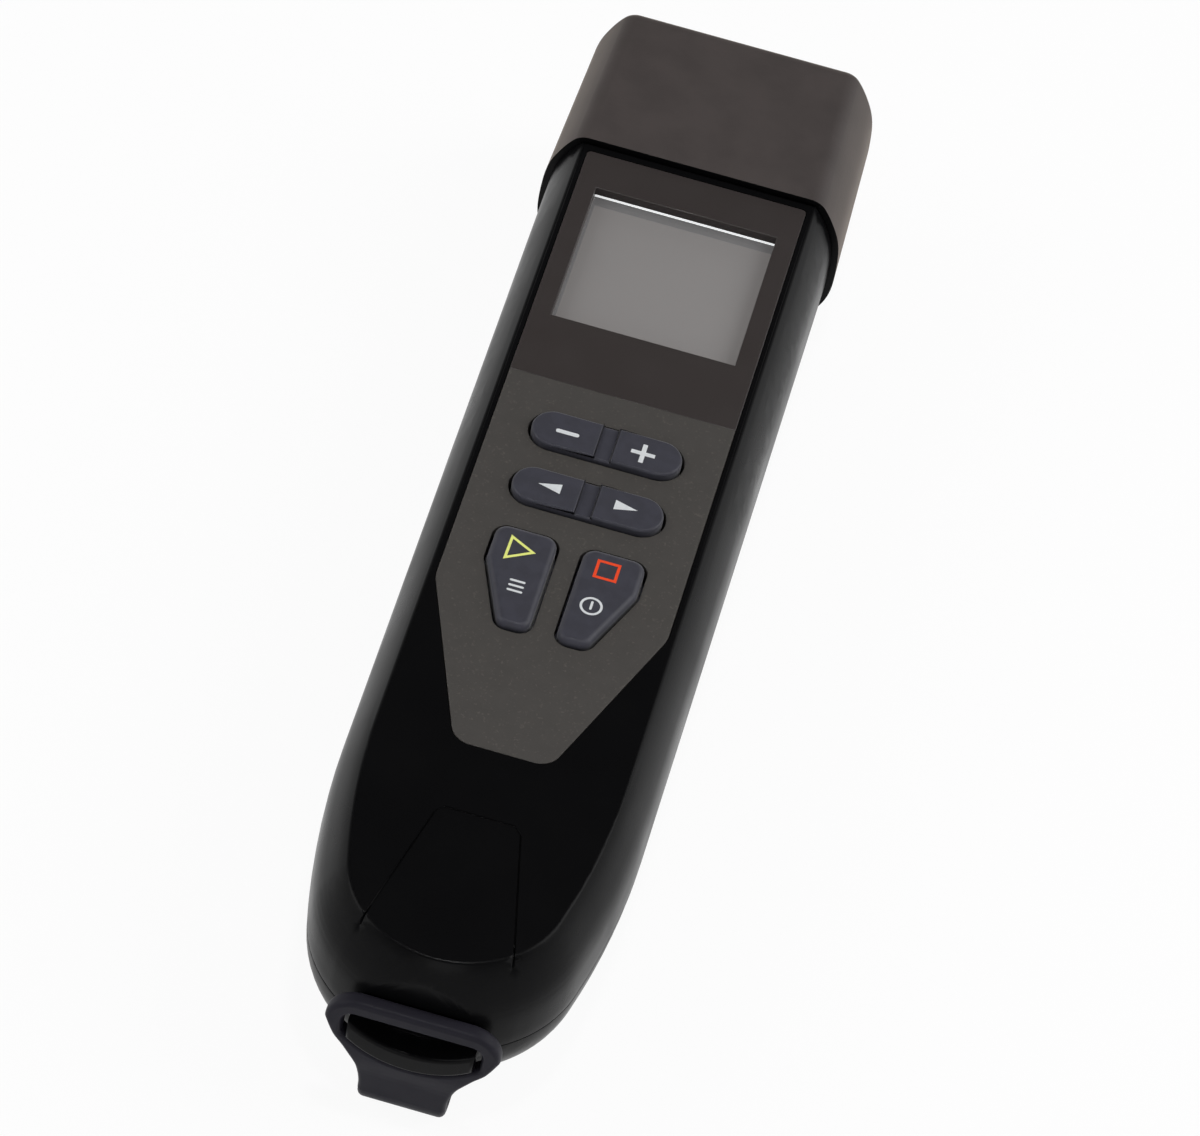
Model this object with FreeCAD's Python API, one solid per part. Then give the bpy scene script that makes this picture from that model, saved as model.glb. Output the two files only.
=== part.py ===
import FreeCAD, Part
import math
import os
from FreeCAD import Vector as V

os.makedirs("parts", exist_ok=True)

# Handheld antenna analyzer, lying on its back, front face up, cap end towards +Y.
# Millimetres. Heights are above the surface it lies on.
# Sketch lengths along Y count from the middle of the keypad; the last step
# moves everything so that the whole object is centred on the origin.

# Housing
HALF_WIDTH = 26.2          # widest half width, at the parting line
FRONT_Z = 36.0             # flat front face
PARTING_Z = 19.0           # where front and rear shell meet, the widest height
BACK_Z = 1.3               # flat of the back
CAP_EDGE_Y = 79.0          # end of the full-size housing, where the cap starts
SHOULDER_Y = -58.6         # the sides start to draw in here
SHOULDER_RADIUS = 137.1    # plan radius of the drawn-in sides
NOSE_DRAW_IN = 3.05        # half width less the plan radius of the lower end
NOSE_FLAT_DEPTH = 2.14     # flat seat of the strap ring, cut off the lower end
WALL = 2.2
FRONT_WALL = 4.0           # front wall, with the panel recess in it
CREASE_FILLET = 0.9
CORNER_ROOM = 0.3          # profile points nearer the flats than this are left out

# Depth below the front face against inset from the widest outline
FRONT_PROFILE = [(17.0, 0.0), (13.0, 0.09), (9.6, 0.39), (7.0, 1.0),
                 (4.7, 1.93), (2.6, 3.0), (1.0, 4.04), (0.0, 4.9)]
# Depth below the parting line against inset, down to the flat of the back
REAR_PROFILE = [(0.0, 0.0), (3.5, 0.3), (7.0, 1.45), (10.0, 3.5),
                (13.0, 6.7), (15.6, 10.6), (17.7, 14.5)]

# Spigot that the cap pushes over, and the end wall that holds the RF connector
CAP_WALL = 2.3
CAP_CLEARANCE = 0.3
SPIGOT_END_Y = 90.0
END_WALL = 3.0

# Front panels
PANEL_INSET = 6.1          # panel edge inside the widest outline
PANEL_TOP_Y = 77.6
PANEL_SPLIT_Y = 22.8       # glossy bezel above, matt keypad panel below
PANEL_SHOULDER_Y = -26.5
PANEL_END_Y = -59.2
PANEL_END_HALF_WIDTH = 8.2
PANEL_THICKNESS = 1.8
PANEL_GAP = 0.12
PANEL_SHOULDER_RADIUS = 7.0
PANEL_END_RADIUS = 4.0
PANEL_TOP_RADIUS = 0.8

# Screen
SCREEN_HALF_WIDTH = 16.5
SCREEN_TOP_Y = 69.4
SCREEN_BOTTOM_Y = 37.3
WINDOW_MARGIN = 1.2
WINDOW_THICKNESS = 0.8
LCD_MARGIN = 0.8           # display edge outside the visible screen
LCD_THICKNESS = 1.6
LCD_FRAME_WALL = 0.8
LCD_SEAT = 0.8              # how far the frame holds the display's edge
LCD_FRAME_FLOOR = 1.0
WINDOW_GAP = 0.15          # window edge to the opening in the front wall

# Keys
KEY_PROUD = 1.1            # key top above the front face
KEY_GAP = 0.5              # gap round a key in the panel
KEY_TRAVEL = 0.8
KEY_EDGE_RADIUS = 0.8
FLANGE_RIM = 1.0
FLANGE_THICKNESS = 1.0
PUSH_FLANGE_DROP = 0.4     # running gap under the front wall
ROCKER_FLANGE_DROP = 0.8
ROCKER_HALF_LENGTH = 13.2
ROCKER_HALF_WIDTH = 3.9
ROCKER_SADDLE_HALF = 1.5
ROCKER_SADDLE_DEPTH = 0.5
ROCKER_1_Y = 11.3
ROCKER_2_Y = -2.0
ROCKER_SWITCH_X = 7.0
KEY_INNER_X = 2.3          # the two lower keys: inner edge
KEY_OUTER_X = 13.0
KEY_TOP_Y = -12.1
KEY_WAIST_Y = -19.8        # where the outer edge starts to slant in
KEY_BOTTOM_Y = -33.3
KEY_BOTTOM_X = 7.6
KEY_CORNER_RADIUS = 2.2

# Board and what sits on it
BOARD_TOP_Z = 26.0
BOARD_THICKNESS = 1.6
BOARD_INSET = 4.8
BOARD_TOP_Y = 84.0
BOARD_BOTTOM_Y = -62.0
SWITCH_SIZE = 6.0
SWITCH_CLEARANCE = 0.4     # key flange above the switch at the end of its travel
MAT_THICKNESS = 1.2
MAT_LIFT = 1.4             # mat above the board, on its own feet
MAT_CLEARANCE = 0.3
FULCRUM_WIDTH = 2.0
FULCRUM_GAP = 0.05

# Fasteners
BOSS_RADIUS = 3.0
CASE_SCREW_INSET = 8.6
LOW_SCREW_INSET = 11.2
CASE_SCREW_YS = (74.3, 8.0)
LOW_SCREW_Y = -82.0
CASE_SCREW_RADIUS = 1.25
CASE_SCREW_HEAD_RADIUS = 2.3
CASE_SCREW_HEAD_Z = 9.0
CASE_SCREW_HEAD_HEIGHT = 1.8
INSERT_RADIUS = 2.0
INSERT_LENGTH = 5.0
SCREW_FREE = 0.2
BOARD_SCREW_INSET = 8.2
BOARD_SCREW_YS = (30.0, -38.0)
BOARD_SCREW_RADIUS = 1.0
BOARD_SCREW_HEAD_RADIUS = 1.9
BOARD_SCREW_HEAD_HEIGHT = 1.4
BOARD_SCREW_LENGTH = 5.0

# Battery, one 18650 cell below the board
CELL_RADIUS = 9.25
CELL_LENGTH = 65.0
CELL_Z = 14.3
CELL_BOTTOM_Y = -74.0
HOLDER_WALL = 1.6
HOLDER_CLEARANCE = 0.3
CONTACT_THICKNESS = 0.5
CONTACT_GAP = 3.0
CONTACT_HALF_WIDTH = 4.5
CONTACT_BELOW = 3.0        # contact plate below and above the cell's axis
CONTACT_ABOVE = 7.0
CONTACT_COIL_RADIUS = 3.6
CONTACT_NUB_RADIUS = 2.6

# RF connector, N socket
RF_Z = 18.6
RF_THREAD_RADIUS = 7.94
RF_FLANGE = 25.4
RF_FLANGE_THICKNESS = 2.0
RF_HOLE_SPACING = 18.3
RF_BARREL_LENGTH = 13.0
RF_THREAD_LENGTH = 10.7
RF_BORE_RADIUS = 6.6
RF_TAIL_RADIUS = 6.4
RF_TAIL_LENGTH = 6.0
RF_INSULATOR_RADIUS = 3.9
RF_CONTACT_RADIUS = 1.55
RF_CONTACT_BORE = 0.83
RF_PIN_RADIUS = 0.7
RF_SCREW_RADIUS = 1.25
RF_SCREW_HEAD_RADIUS = 2.4
RF_SCREW_HEAD_HEIGHT = 1.6
RF_SCREW_LENGTH = 6.0
RF_SLOT_WIDTH = 0.7
RF_SLOT_DEPTH = 0.7
RF_HOLE_CLEARANCE = 0.25

# Cap
CAP_TOP_Y = 113.4
CAP_PROUD = 1.25           # cap outside the housing at its edge
CAP_TAPER = 1.1            # each side, over the cap's length
CAP_EDGE_GAP = 0.3
CAP_END_WALL = 3.2
CAP_EDGE_RADIUS = 1.8
CAP_SIDE_RADIUS = 3.5      # where the cap's front turns into its sides

# Strap and its hook
STRAP_WIDTH = 14.8
STRAP_THICKNESS = 2.4
STRAP_CLEARANCE = 0.25
STRAP_BEND_RADIUS = 3.2    # of the strap's mid line at the lower end
STRAP_ANCHOR_Y = 70.0
STRAP_BEAD_RADIUS = 2.6
STRAP_PIN_RADIUS = 1.0
STRAP_PIN_HALF_LENGTH = 10.4
POCKET_WALL = 1.8
RING_STAND_OFF = 1.9       # ring's mid plane from the flat seat
RING_HALF_WIDTH = 14.6
RING_BAR = 3.1
RING_TOP_Z = 26.7
RING_HOLE_TOP_Z = 23.6
RING_HOLE_BOTTOM_Z = 13.4
RING_HOLE_CORNER_Z = 18.5  # where the hole's round bottom meets its sides
RING_HOLE_RADIUS = 2.0
RING_CORNER_RADIUS = 5.5
RING_SPLIT_GAP = 0.15
# Edge of the neck, from the split up to the ring's side: half width, height
NECK_EDGE = [(7.5, 6.5), (8.0, 8.9), (8.9, 11.3), (11.0, 14.7), (13.0, 17.4), (14.6, 21.0)]
LIP_HALF_WIDTH = 10.6
LIP_REACH = 4.2            # from the flat seat
LIP_GAP = 0.75             # lip above the hole's round bottom
LIP_THICKNESS = 4.25
LIP_SHELL_GAP = 0.2        # between the lip and the front shell
LIP_EDGE_RADIUS = 0.7

# Small parts on the board
USB_Y = 44.0
USB_WIDTH = 8.9
USB_HEIGHT = 3.2
USB_LENGTH = 7.3
USB_WALL = 0.35
USB_CORNER_RADIUS = 1.3
USB_TONGUE_HALF = 3.2
USB_TONGUE_THICKNESS = 0.7
USB_TONGUE_SET_BACK = 1.0
USB_RECESS = 0.5           # receptacle mouth inside the outer surface
USB_PORT_CLEARANCE = 0.3
PIPE_RADIUS = 1.0
PIPE_Y = 54.0
PIPE_CLEARANCE = 0.1
SHIELD_HALF_WIDTH = 14.0
SHIELD_BOTTOM_Y = 36.0
SHIELD_TOP_Y = 64.0
SHIELD_HEIGHT = 3.4
SHIELD_WALL = 0.4
BUZZER_RADIUS = 5.5
BUZZER_HEIGHT = 3.2
BUZZER_Y = 18.0
GASKET_WIDTH = 0.8
GASKET_HEIGHT = 0.7
GASKET_CLEARANCE = 0.1

# Faint groove on the lower front
GROOVE_WIDTH = 0.35
GROOVE_DEPTH = 0.35
GROOVE_EDGE_DEPTH = 1.2     # deeper where it runs out over the crease
GROOVE_EDGE_REACH = 7.0
GROOVE_TOP_Y = -73.0
GROOVE_TOP_X = 7.2
GROOVE_CORNER = 1.3        # cut off the groove's upper corners
GROOVE_END_X = 14.0

FAR = 400.0
NOSE_RADIUS = HALF_WIDTH - NOSE_DRAW_IN
SHOULDER_X = SHOULDER_RADIUS - HALF_WIDTH
# The nose arc touches the shoulder arcs on the inside
NOSE_Y = SHOULDER_Y - math.sqrt((SHOULDER_RADIUS - NOSE_RADIUS) ** 2 - SHOULDER_X ** 2)
NOSE_FLAT_Y = NOSE_Y - NOSE_RADIUS + NOSE_FLAT_DEPTH
RING_PLANE_Y = NOSE_FLAT_Y - RING_STAND_OFF
LIP_REACH_Y = NOSE_FLAT_Y - LIP_REACH
PANEL_HALF_WIDTH = HALF_WIDTH - PANEL_INSET
BOARD_HALF_WIDTH = HALF_WIDTH - BOARD_INSET
CASE_SCREW_SPOTS = [(side * (HALF_WIDTH - CASE_SCREW_INSET), y)
                    for y in CASE_SCREW_YS for side in (1, -1)]
CASE_SCREW_SPOTS += [(side * (HALF_WIDTH - LOW_SCREW_INSET), LOW_SCREW_Y) for side in (1, -1)]
BOARD_SCREW_SPOTS = [(side * (HALF_WIDTH - BOARD_SCREW_INSET), y)
                     for y in BOARD_SCREW_YS for side in (1, -1)]
PANEL_FLOOR_Z = FRONT_Z - PANEL_THICKNESS
INNER_FRONT_Z = FRONT_Z - FRONT_WALL
BOARD_BOTTOM_Z = BOARD_TOP_Z - BOARD_THICKNESS
PUSH_FLANGE_BOTTOM_Z = INNER_FRONT_Z - PUSH_FLANGE_DROP - FLANGE_THICKNESS
SWITCH_HEIGHT = PUSH_FLANGE_BOTTOM_Z - KEY_TRAVEL - SWITCH_CLEARANCE - BOARD_TOP_Z
WINDOW_Z = PANEL_FLOOR_Z - WINDOW_THICKNESS
LCD_Z = WINDOW_Z - LCD_THICKNESS
SPIGOT_INSET = CAP_WALL + CAP_CLEARANCE - CAP_PROUD
KEY_TOP_Z = FRONT_Z + KEY_PROUD
PORT_Z = BOARD_BOTTOM_Z - USB_HEIGHT / 2
GROOVE_FLOOR_Z = STRAP_THICKNESS + STRAP_CLEARANCE
CENTRE_Y = (CAP_TOP_Y + LIP_REACH_Y) / 2


def box(x0, x1, y0, y1, z0, z1):
    return Part.makeBox(x1 - x0, y1 - y0, z1 - z0, V(x0, y0, z0))


def post(radius, x, y, z0, z1):
    return Part.makeCylinder(radius, z1 - z0, V(x, y, z0))


def rod_y(radius, x, z, y0, y1):
    return Part.makeCylinder(radius, y1 - y0, V(x, y0, z), V(0, 1, 0))


def rod_x(radius, y, z, x0, x1):
    return Part.makeCylinder(radius, x1 - x0, V(x0, y, z), V(1, 0, 0))


def fuse(shapes):
    return shapes[0].multiFuse(shapes[1:]) if len(shapes) > 1 else shapes[0]


def cut(shape, tools):
    return shape.cut(Part.makeCompound(tools))


def polygon(points, z):
    corners = [V(x, y, z) for x, y in points]
    return Part.makePolygon(corners + [corners[0]])


def prism(points, z0, z1):
    return Part.Face(polygon(points, z0)).extrude(V(0, 0, z1 - z0))


def edges_along(shape, axis):
    return [e for e in shape.Edges if abs(e.tangentAt(e.FirstParameter).dot(axis)) > 0.99]


def rounded_prism(points, radii, z0, z1):
    # radii: one for each point, in the same order
    body = prism(points, z0, z1)
    for (x, y), radius in zip(points, radii):
        if radius > 0:
            here = V(x, y, z0)
            edges = [e for e in edges_along(body, V(0, 0, 1))
                     if min(v.Point.distanceToPoint(here) for v in e.Vertexes) < 0.01]
            body = body.makeFillet(radius, edges)
    return body


def top_edges(shape, z):
    return [e for e in shape.Edges
            if all(abs(v.Point.z - z) < 1e-4 for v in e.Vertexes)
            and abs(e.CenterOfMass.z - z) < 1e-4]


# Housing

def profile():
    """(height, inset) from the flat of the back up to the front face."""
    rear = [(PARTING_Z - depth, inset) for depth, inset in reversed(REAR_PROFILE)]
    front = [(FRONT_Z - depth, inset) for depth, inset in FRONT_PROFILE]
    return rear + front[1:]


def side_points(points, inset, narrower=0.0):
    """Right-hand edge of the section, drawn in by inset along its normals."""
    low_z = points[0][0] + inset
    high_z = points[-1][0] - inset
    edge = []
    for k in range(1, len(points) - 1):
        z_a, i_a = points[k - 1]
        z_b, i_b = points[k + 1]
        run = math.hypot(z_b - z_a, i_b - i_a)
        x = HALF_WIDTH - narrower - points[k][1] - inset * (z_b - z_a) / run
        z = points[k][0] - inset * (i_b - i_a) / run
        if low_z + CORNER_ROOM < z < high_z - CORNER_ROOM:
            edge.append((x, z))
    first = run_out(edge[0], points[0], points[1], low_z)
    last = run_out(edge[-1], points[-2], points[-1], high_z)
    return [first] + edge + [last]


def run_out(start, low, high, z):
    """Point at height z, from start along the slope between two profile points."""
    slope = (low[1] - high[1]) / (high[0] - low[0])
    return start[0] + slope * (z - start[1]), z


def spline_edge(vectors):
    curve = Part.BSplineCurve()
    curve.interpolate(vectors)
    return curve.toShape()


def closed_face(edges):
    return Part.Face(Part.Wire(Part.__sortEdges__(edges)))


def half_section(edge, y):
    """Right half of the section, from the mid plane out to its edge."""
    low_x, low_z = edge[0]
    high_x, high_z = edge[-1]
    side = spline_edge([V(x, y, z) for x, z in edge])
    bottom = Part.LineSegment(V(0, y, low_z), V(low_x, y, low_z)).toShape()
    top = Part.LineSegment(V(high_x, y, high_z), V(0, y, high_z)).toShape()
    middle = Part.LineSegment(V(0, y, high_z), V(0, y, low_z)).toShape()
    return closed_face([bottom, side, top, middle])


def plan_body(edge, top_y):
    """Straight sides, drawn-in shoulders and round nose, all with one side edge."""
    turn = math.degrees(math.atan2(SHOULDER_Y - NOSE_Y, SHOULDER_X))
    straight = half_section(edge, SHOULDER_Y).extrude(V(0, top_y - SHOULDER_Y, 0))
    shoulder = half_section(edge, SHOULDER_Y).revolve(V(-SHOULDER_X, SHOULDER_Y, 0),
                                                      V(0, 0, 1), -turn)
    nose_edge = [(x - HALF_WIDTH + NOSE_RADIUS, z) for x, z in edge]
    nose = half_section(nose_edge, NOSE_Y).revolve(V(0, NOSE_Y, 0), V(0, 0, 1), 360)
    right = fuse([straight, shoulder])
    left = right.mirror(V(0, 0, 0), V(1, 0, 0))
    return fuse([right, left, nose]).removeSplitter()


def cross_section(inset, y, narrower=0.0):
    """Whole housing section across Y, drawn in by inset all round."""
    edge = side_points(profile(), inset, narrower)
    right = [V(x, y, z) for x, z in edge]
    left = [V(-x, y, z) for x, z in edge]
    edges = [Part.LineSegment(left[0], right[0]).toShape(), spline_edge(right),
             Part.LineSegment(right[-1], left[-1]).toShape(), spline_edge(left)]
    return Part.Wire(Part.__sortEdges__(edges))


def section_prism(inset, y0, y1):
    return Part.Face(cross_section(inset, y0)).extrude(V(0, y1 - y0, 0))


def housing_solid():
    body = plan_body(side_points(profile(), 0), CAP_EDGE_Y)
    return body.cut(box(-FAR, FAR, -FAR, NOSE_FLAT_Y, -FAR, FAR))


def housing_hollow():
    floor_z = GROOVE_FLOOR_Z + WALL
    edge = side_points(profile(), WALL)
    inside = plan_body(edge, CAP_EDGE_Y - WALL)
    return inside.common(box(-FAR, FAR, NOSE_FLAT_Y + WALL, FAR, floor_z, INNER_FRONT_Z))


def upright_body(inset, z0, z1, top_y):
    edge = [(HALF_WIDTH - inset, z0), (HALF_WIDTH - inset, z1)]
    return plan_body(edge, top_y).cut(box(-FAR, FAR, -FAR, NOSE_FLAT_Y + inset, -FAR, FAR))


def ring_between(inset_outer, inset_inner, z0, z1, top_y):
    outer = upright_body(inset_outer, z0, z1, top_y)
    return outer.cut(upright_body(inset_inner, z0, z1, top_y - inset_inner + inset_outer))


def panel_points(gap):
    half = PANEL_HALF_WIDTH + gap
    end = PANEL_END_HALF_WIDTH + gap
    top = PANEL_TOP_Y + gap
    low = PANEL_END_Y - gap
    points = [(-half, top), (-half, PANEL_SHOULDER_Y), (-end, low),
              (end, low), (half, PANEL_SHOULDER_Y), (half, top)]
    radii = [PANEL_TOP_RADIUS, PANEL_SHOULDER_RADIUS, PANEL_END_RADIUS,
             PANEL_END_RADIUS, PANEL_SHOULDER_RADIUS, PANEL_TOP_RADIUS]
    return points, radii


def panel_plate(gap, z0, z1):
    points, radii = panel_points(gap)
    return rounded_prism(points, radii, z0, z1)


def window_box(margin, z0, z1):
    return box(-SCREEN_HALF_WIDTH - margin, SCREEN_HALF_WIDTH + margin,
               SCREEN_BOTTOM_Y - margin, SCREEN_TOP_Y + margin, z0, z1)


# Keys

def rocker_blank(y, grow, z0, z1):
    half = ROCKER_HALF_LENGTH + grow
    wide = ROCKER_HALF_WIDTH + grow
    middle = box(-half + wide, half - wide, y - wide, y + wide, z0, z1)
    return fuse([middle, post(wide, half - wide, y, z0, z1), post(wide, wide - half, y, z0, z1)])


def push_blank(side, grow, z0, z1):
    inner = KEY_INNER_X - grow
    outer = KEY_OUTER_X + grow
    slant = KEY_BOTTOM_X + grow
    points = [(side * inner, KEY_TOP_Y + grow), (side * inner, KEY_BOTTOM_Y - grow),
              (side * slant, KEY_BOTTOM_Y - grow), (side * outer, KEY_WAIST_Y),
              (side * outer, KEY_TOP_Y + grow)]
    radius = KEY_CORNER_RADIUS + grow
    return rounded_prism(points, [radius] * 5, z0, z1)


def rocker_key(y):
    flange_top = INNER_FRONT_Z - ROCKER_FLANGE_DROP
    body = rocker_blank(y, 0, flange_top, KEY_TOP_Z)
    body = body.makeFillet(KEY_EDGE_RADIUS, top_edges(body, KEY_TOP_Z))
    saddle = box(-ROCKER_SADDLE_HALF, ROCKER_SADDLE_HALF, y - FAR, y + FAR,
                 KEY_TOP_Z - ROCKER_SADDLE_DEPTH, KEY_TOP_Z + 1)
    flange = rocker_blank(y, FLANGE_RIM, flange_top - FLANGE_THICKNESS, flange_top)
    return body.cut(saddle).fuse(flange).removeSplitter()


def push_key(side):
    flange_top = INNER_FRONT_Z - PUSH_FLANGE_DROP
    body = push_blank(side, 0, flange_top, KEY_TOP_Z)
    body = body.makeFillet(KEY_EDGE_RADIUS, top_edges(body, KEY_TOP_Z))
    flange = push_blank(side, FLANGE_RIM, flange_top - FLANGE_THICKNESS, flange_top)
    return body.fuse(flange).removeSplitter()


def key_holes(z0, z1):
    holes = [rocker_blank(y, KEY_GAP, z0, z1) for y in (ROCKER_1_Y, ROCKER_2_Y)]
    return holes + [push_blank(side, KEY_GAP, z0, z1) for side in (-1, 1)]


def switch_spots():
    spots = [(s * ROCKER_SWITCH_X, y) for y in (ROCKER_1_Y, ROCKER_2_Y) for s in (-1, 1)]
    push_x = (KEY_INNER_X + KEY_OUTER_X) / 2
    push_ys = (KEY_TOP_Y - 1.8 - SWITCH_SIZE / 2, KEY_WAIST_Y - 4.2)
    return spots + [(s * (push_x - 0.8), y) for y in push_ys for s in (-1, 1)]


# Strap

def strap_run():
    half = STRAP_WIDTH / 2
    mid_z = STRAP_THICKNESS / 2
    bend_y = RING_PLANE_Y + STRAP_BEND_RADIUS
    flat = box(-half, half, bend_y, STRAP_ANCHOR_Y, 0, STRAP_THICKNESS)
    centre_z = mid_z + STRAP_BEND_RADIUS
    outer = STRAP_BEND_RADIUS + mid_z
    inner = STRAP_BEND_RADIUS - mid_z
    bend = rod_x(outer, bend_y, centre_z, -half, half)
    bend = bend.cut(rod_x(inner, bend_y, centre_z, -half - 1, half + 1))
    quarter = box(-half, half, bend_y - outer, bend_y, centre_z - outer, centre_z)
    bend = bend.common(quarter)
    bead = rod_x(STRAP_BEAD_RADIUS, STRAP_ANCHOR_Y, STRAP_BEAD_RADIUS, -half, half)
    strap = fuse([flat, bend, bead]).removeSplitter()
    hole = rod_x(STRAP_PIN_RADIUS + 0.05, STRAP_ANCHOR_Y, STRAP_BEAD_RADIUS, -FAR, FAR)
    return strap.cut(hole)


def ring_split_z():
    return STRAP_THICKNESS / 2 + STRAP_BEND_RADIUS + RING_SPLIT_GAP


def mirrored(point):
    return V(-point.x, point.y, point.z)


def hole_arc(half, lift, y):
    """Three points of the ring hole's round bottom, raised by lift, out to half each side."""
    rise = RING_HOLE_CORNER_Z - RING_HOLE_BOTTOM_Z
    wide = RING_HALF_WIDTH - RING_BAR
    radius = (wide ** 2 + rise ** 2) / (2 * rise)
    end_z = RING_HOLE_BOTTOM_Z + radius - math.sqrt(radius ** 2 - half ** 2)
    end = V(half, y, end_z + lift)
    return mirrored(end), V(0, y, RING_HOLE_BOTTOM_Z + lift), end


def ring_hole():
    half = RING_HALF_WIDTH - RING_BAR
    left, low, right = hole_arc(half, 0, 0)
    right_top = V(half, 0, RING_HOLE_TOP_Z)
    left_top = mirrored(right_top)
    edges = [Part.Arc(left, low, right), Part.LineSegment(right, right_top),
             Part.LineSegment(right_top, left_top), Part.LineSegment(left_top, left)]
    hole = Part.Face(Part.Wire([e.toShape() for e in edges])).extrude(V(0, -FAR, 0))
    rounds = [e for e in edges_along(hole, V(0, 1, 0))
              if abs(e.Vertexes[0].Point.z - RING_HOLE_TOP_Z) < 0.01]
    return hole.makeFillet(RING_HOLE_RADIUS, rounds)


def ring_face(y):
    """Outline of the neck with drawn-in sides, widening into the D-shaped ring."""
    waist = [V(STRAP_WIDTH / 2, y, ring_split_z())] + [V(x, y, z) for x, z in NECK_EDGE]
    side = waist[-1]
    high = V(RING_HALF_WIDTH, y, RING_TOP_Z - RING_CORNER_RADIUS)
    corner_turn = RING_CORNER_RADIUS * (1 - math.sqrt(0.5))
    corner = V(RING_HALF_WIDTH - corner_turn, y, RING_TOP_Z - corner_turn)
    top = V(RING_HALF_WIDTH - RING_CORNER_RADIUS, y, RING_TOP_Z)
    edges = [Part.LineSegment(mirrored(waist[0]), waist[0]).toShape(), spline_edge(waist)]
    if high.z - side.z > 0.01:
        edges += [Part.LineSegment(side, high).toShape()]
        edges += [Part.LineSegment(mirrored(high), mirrored(side)).toShape()]
    edges += [Part.Arc(high, corner, top).toShape(),
              Part.LineSegment(top, mirrored(top)).toShape(),
              Part.Arc(mirrored(top), mirrored(corner), mirrored(high)).toShape(),
              spline_edge([mirrored(p) for p in reversed(waist)])]
    return closed_face(edges)


def strap_ring():
    """Flat neck and the thicker ring that hooks over the lip."""
    plate = ring_face(RING_PLANE_Y - STRAP_THICKNESS / 2).extrude(V(0, STRAP_THICKNESS, 0))
    ring = ring_face(RING_PLANE_Y - RING_BAR / 2).extrude(V(0, RING_BAR, 0))
    ring = ring.common(box(-FAR, FAR, -FAR, 0, RING_HOLE_BOTTOM_Z + STRAP_THICKNESS, FAR))
    return plate.fuse(ring).cut(ring_hole()).removeSplitter()


def hook_lip():
    """Curved wall on the lower end that fills the ring's hole from below."""
    y = LIP_REACH_Y
    left, low, right = hole_arc(LIP_HALF_WIDTH, LIP_GAP, y)
    up = V(0, 0, LIP_THICKNESS)
    edges = [Part.Arc(left, low, right), Part.LineSegment(right, right + up),
             Part.Arc(right + up, low + up, left + up), Part.LineSegment(left + up, left)]
    face = Part.Face(Part.Wire([e.toShape() for e in edges]))
    lip = face.extrude(V(0, NOSE_FLAT_Y + WALL - y, 0))
    front = [e for e in lip.Edges if all(abs(v.Point.y - y) < 1e-4 for v in e.Vertexes)]
    front_side = box(-FAR, FAR, NOSE_FLAT_Y - LIP_SHELL_GAP, FAR, PARTING_Z, FAR)
    return lip.makeFillet(LIP_EDGE_RADIUS, front).cut(front_side)


# Parts

parts = {}


def add(name, shape):
    parts[name] = shape


housing = housing_solid()
hollow = housing_hollow()
spigot = section_prism(SPIGOT_INSET, CAP_EDGE_Y - 1.0, SPIGOT_END_Y)
spigot_hollow = section_prism(SPIGOT_INSET + WALL, CAP_EDGE_Y - WALL - 1.0,
                              SPIGOT_END_Y - END_WALL)
connector_hole = rod_y(RF_TAIL_RADIUS + RF_HOLE_CLEARANCE, 0, RF_Z, CAP_EDGE_Y, SPIGOT_END_Y + 1)
above = box(-FAR, FAR, -FAR, FAR, PARTING_Z, FAR)
below = box(-FAR, FAR, -FAR, FAR, -FAR, PARTING_Z)


def case_boss(x, y, z0, z1):
    return post(BOSS_RADIUS, x, y, z0, z1)


def flange_screw_spots():
    half = RF_HOLE_SPACING / 2
    return [(sx * half, RF_Z + sz * half) for sx in (-1, 1) for sz in (-1, 1)]


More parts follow.
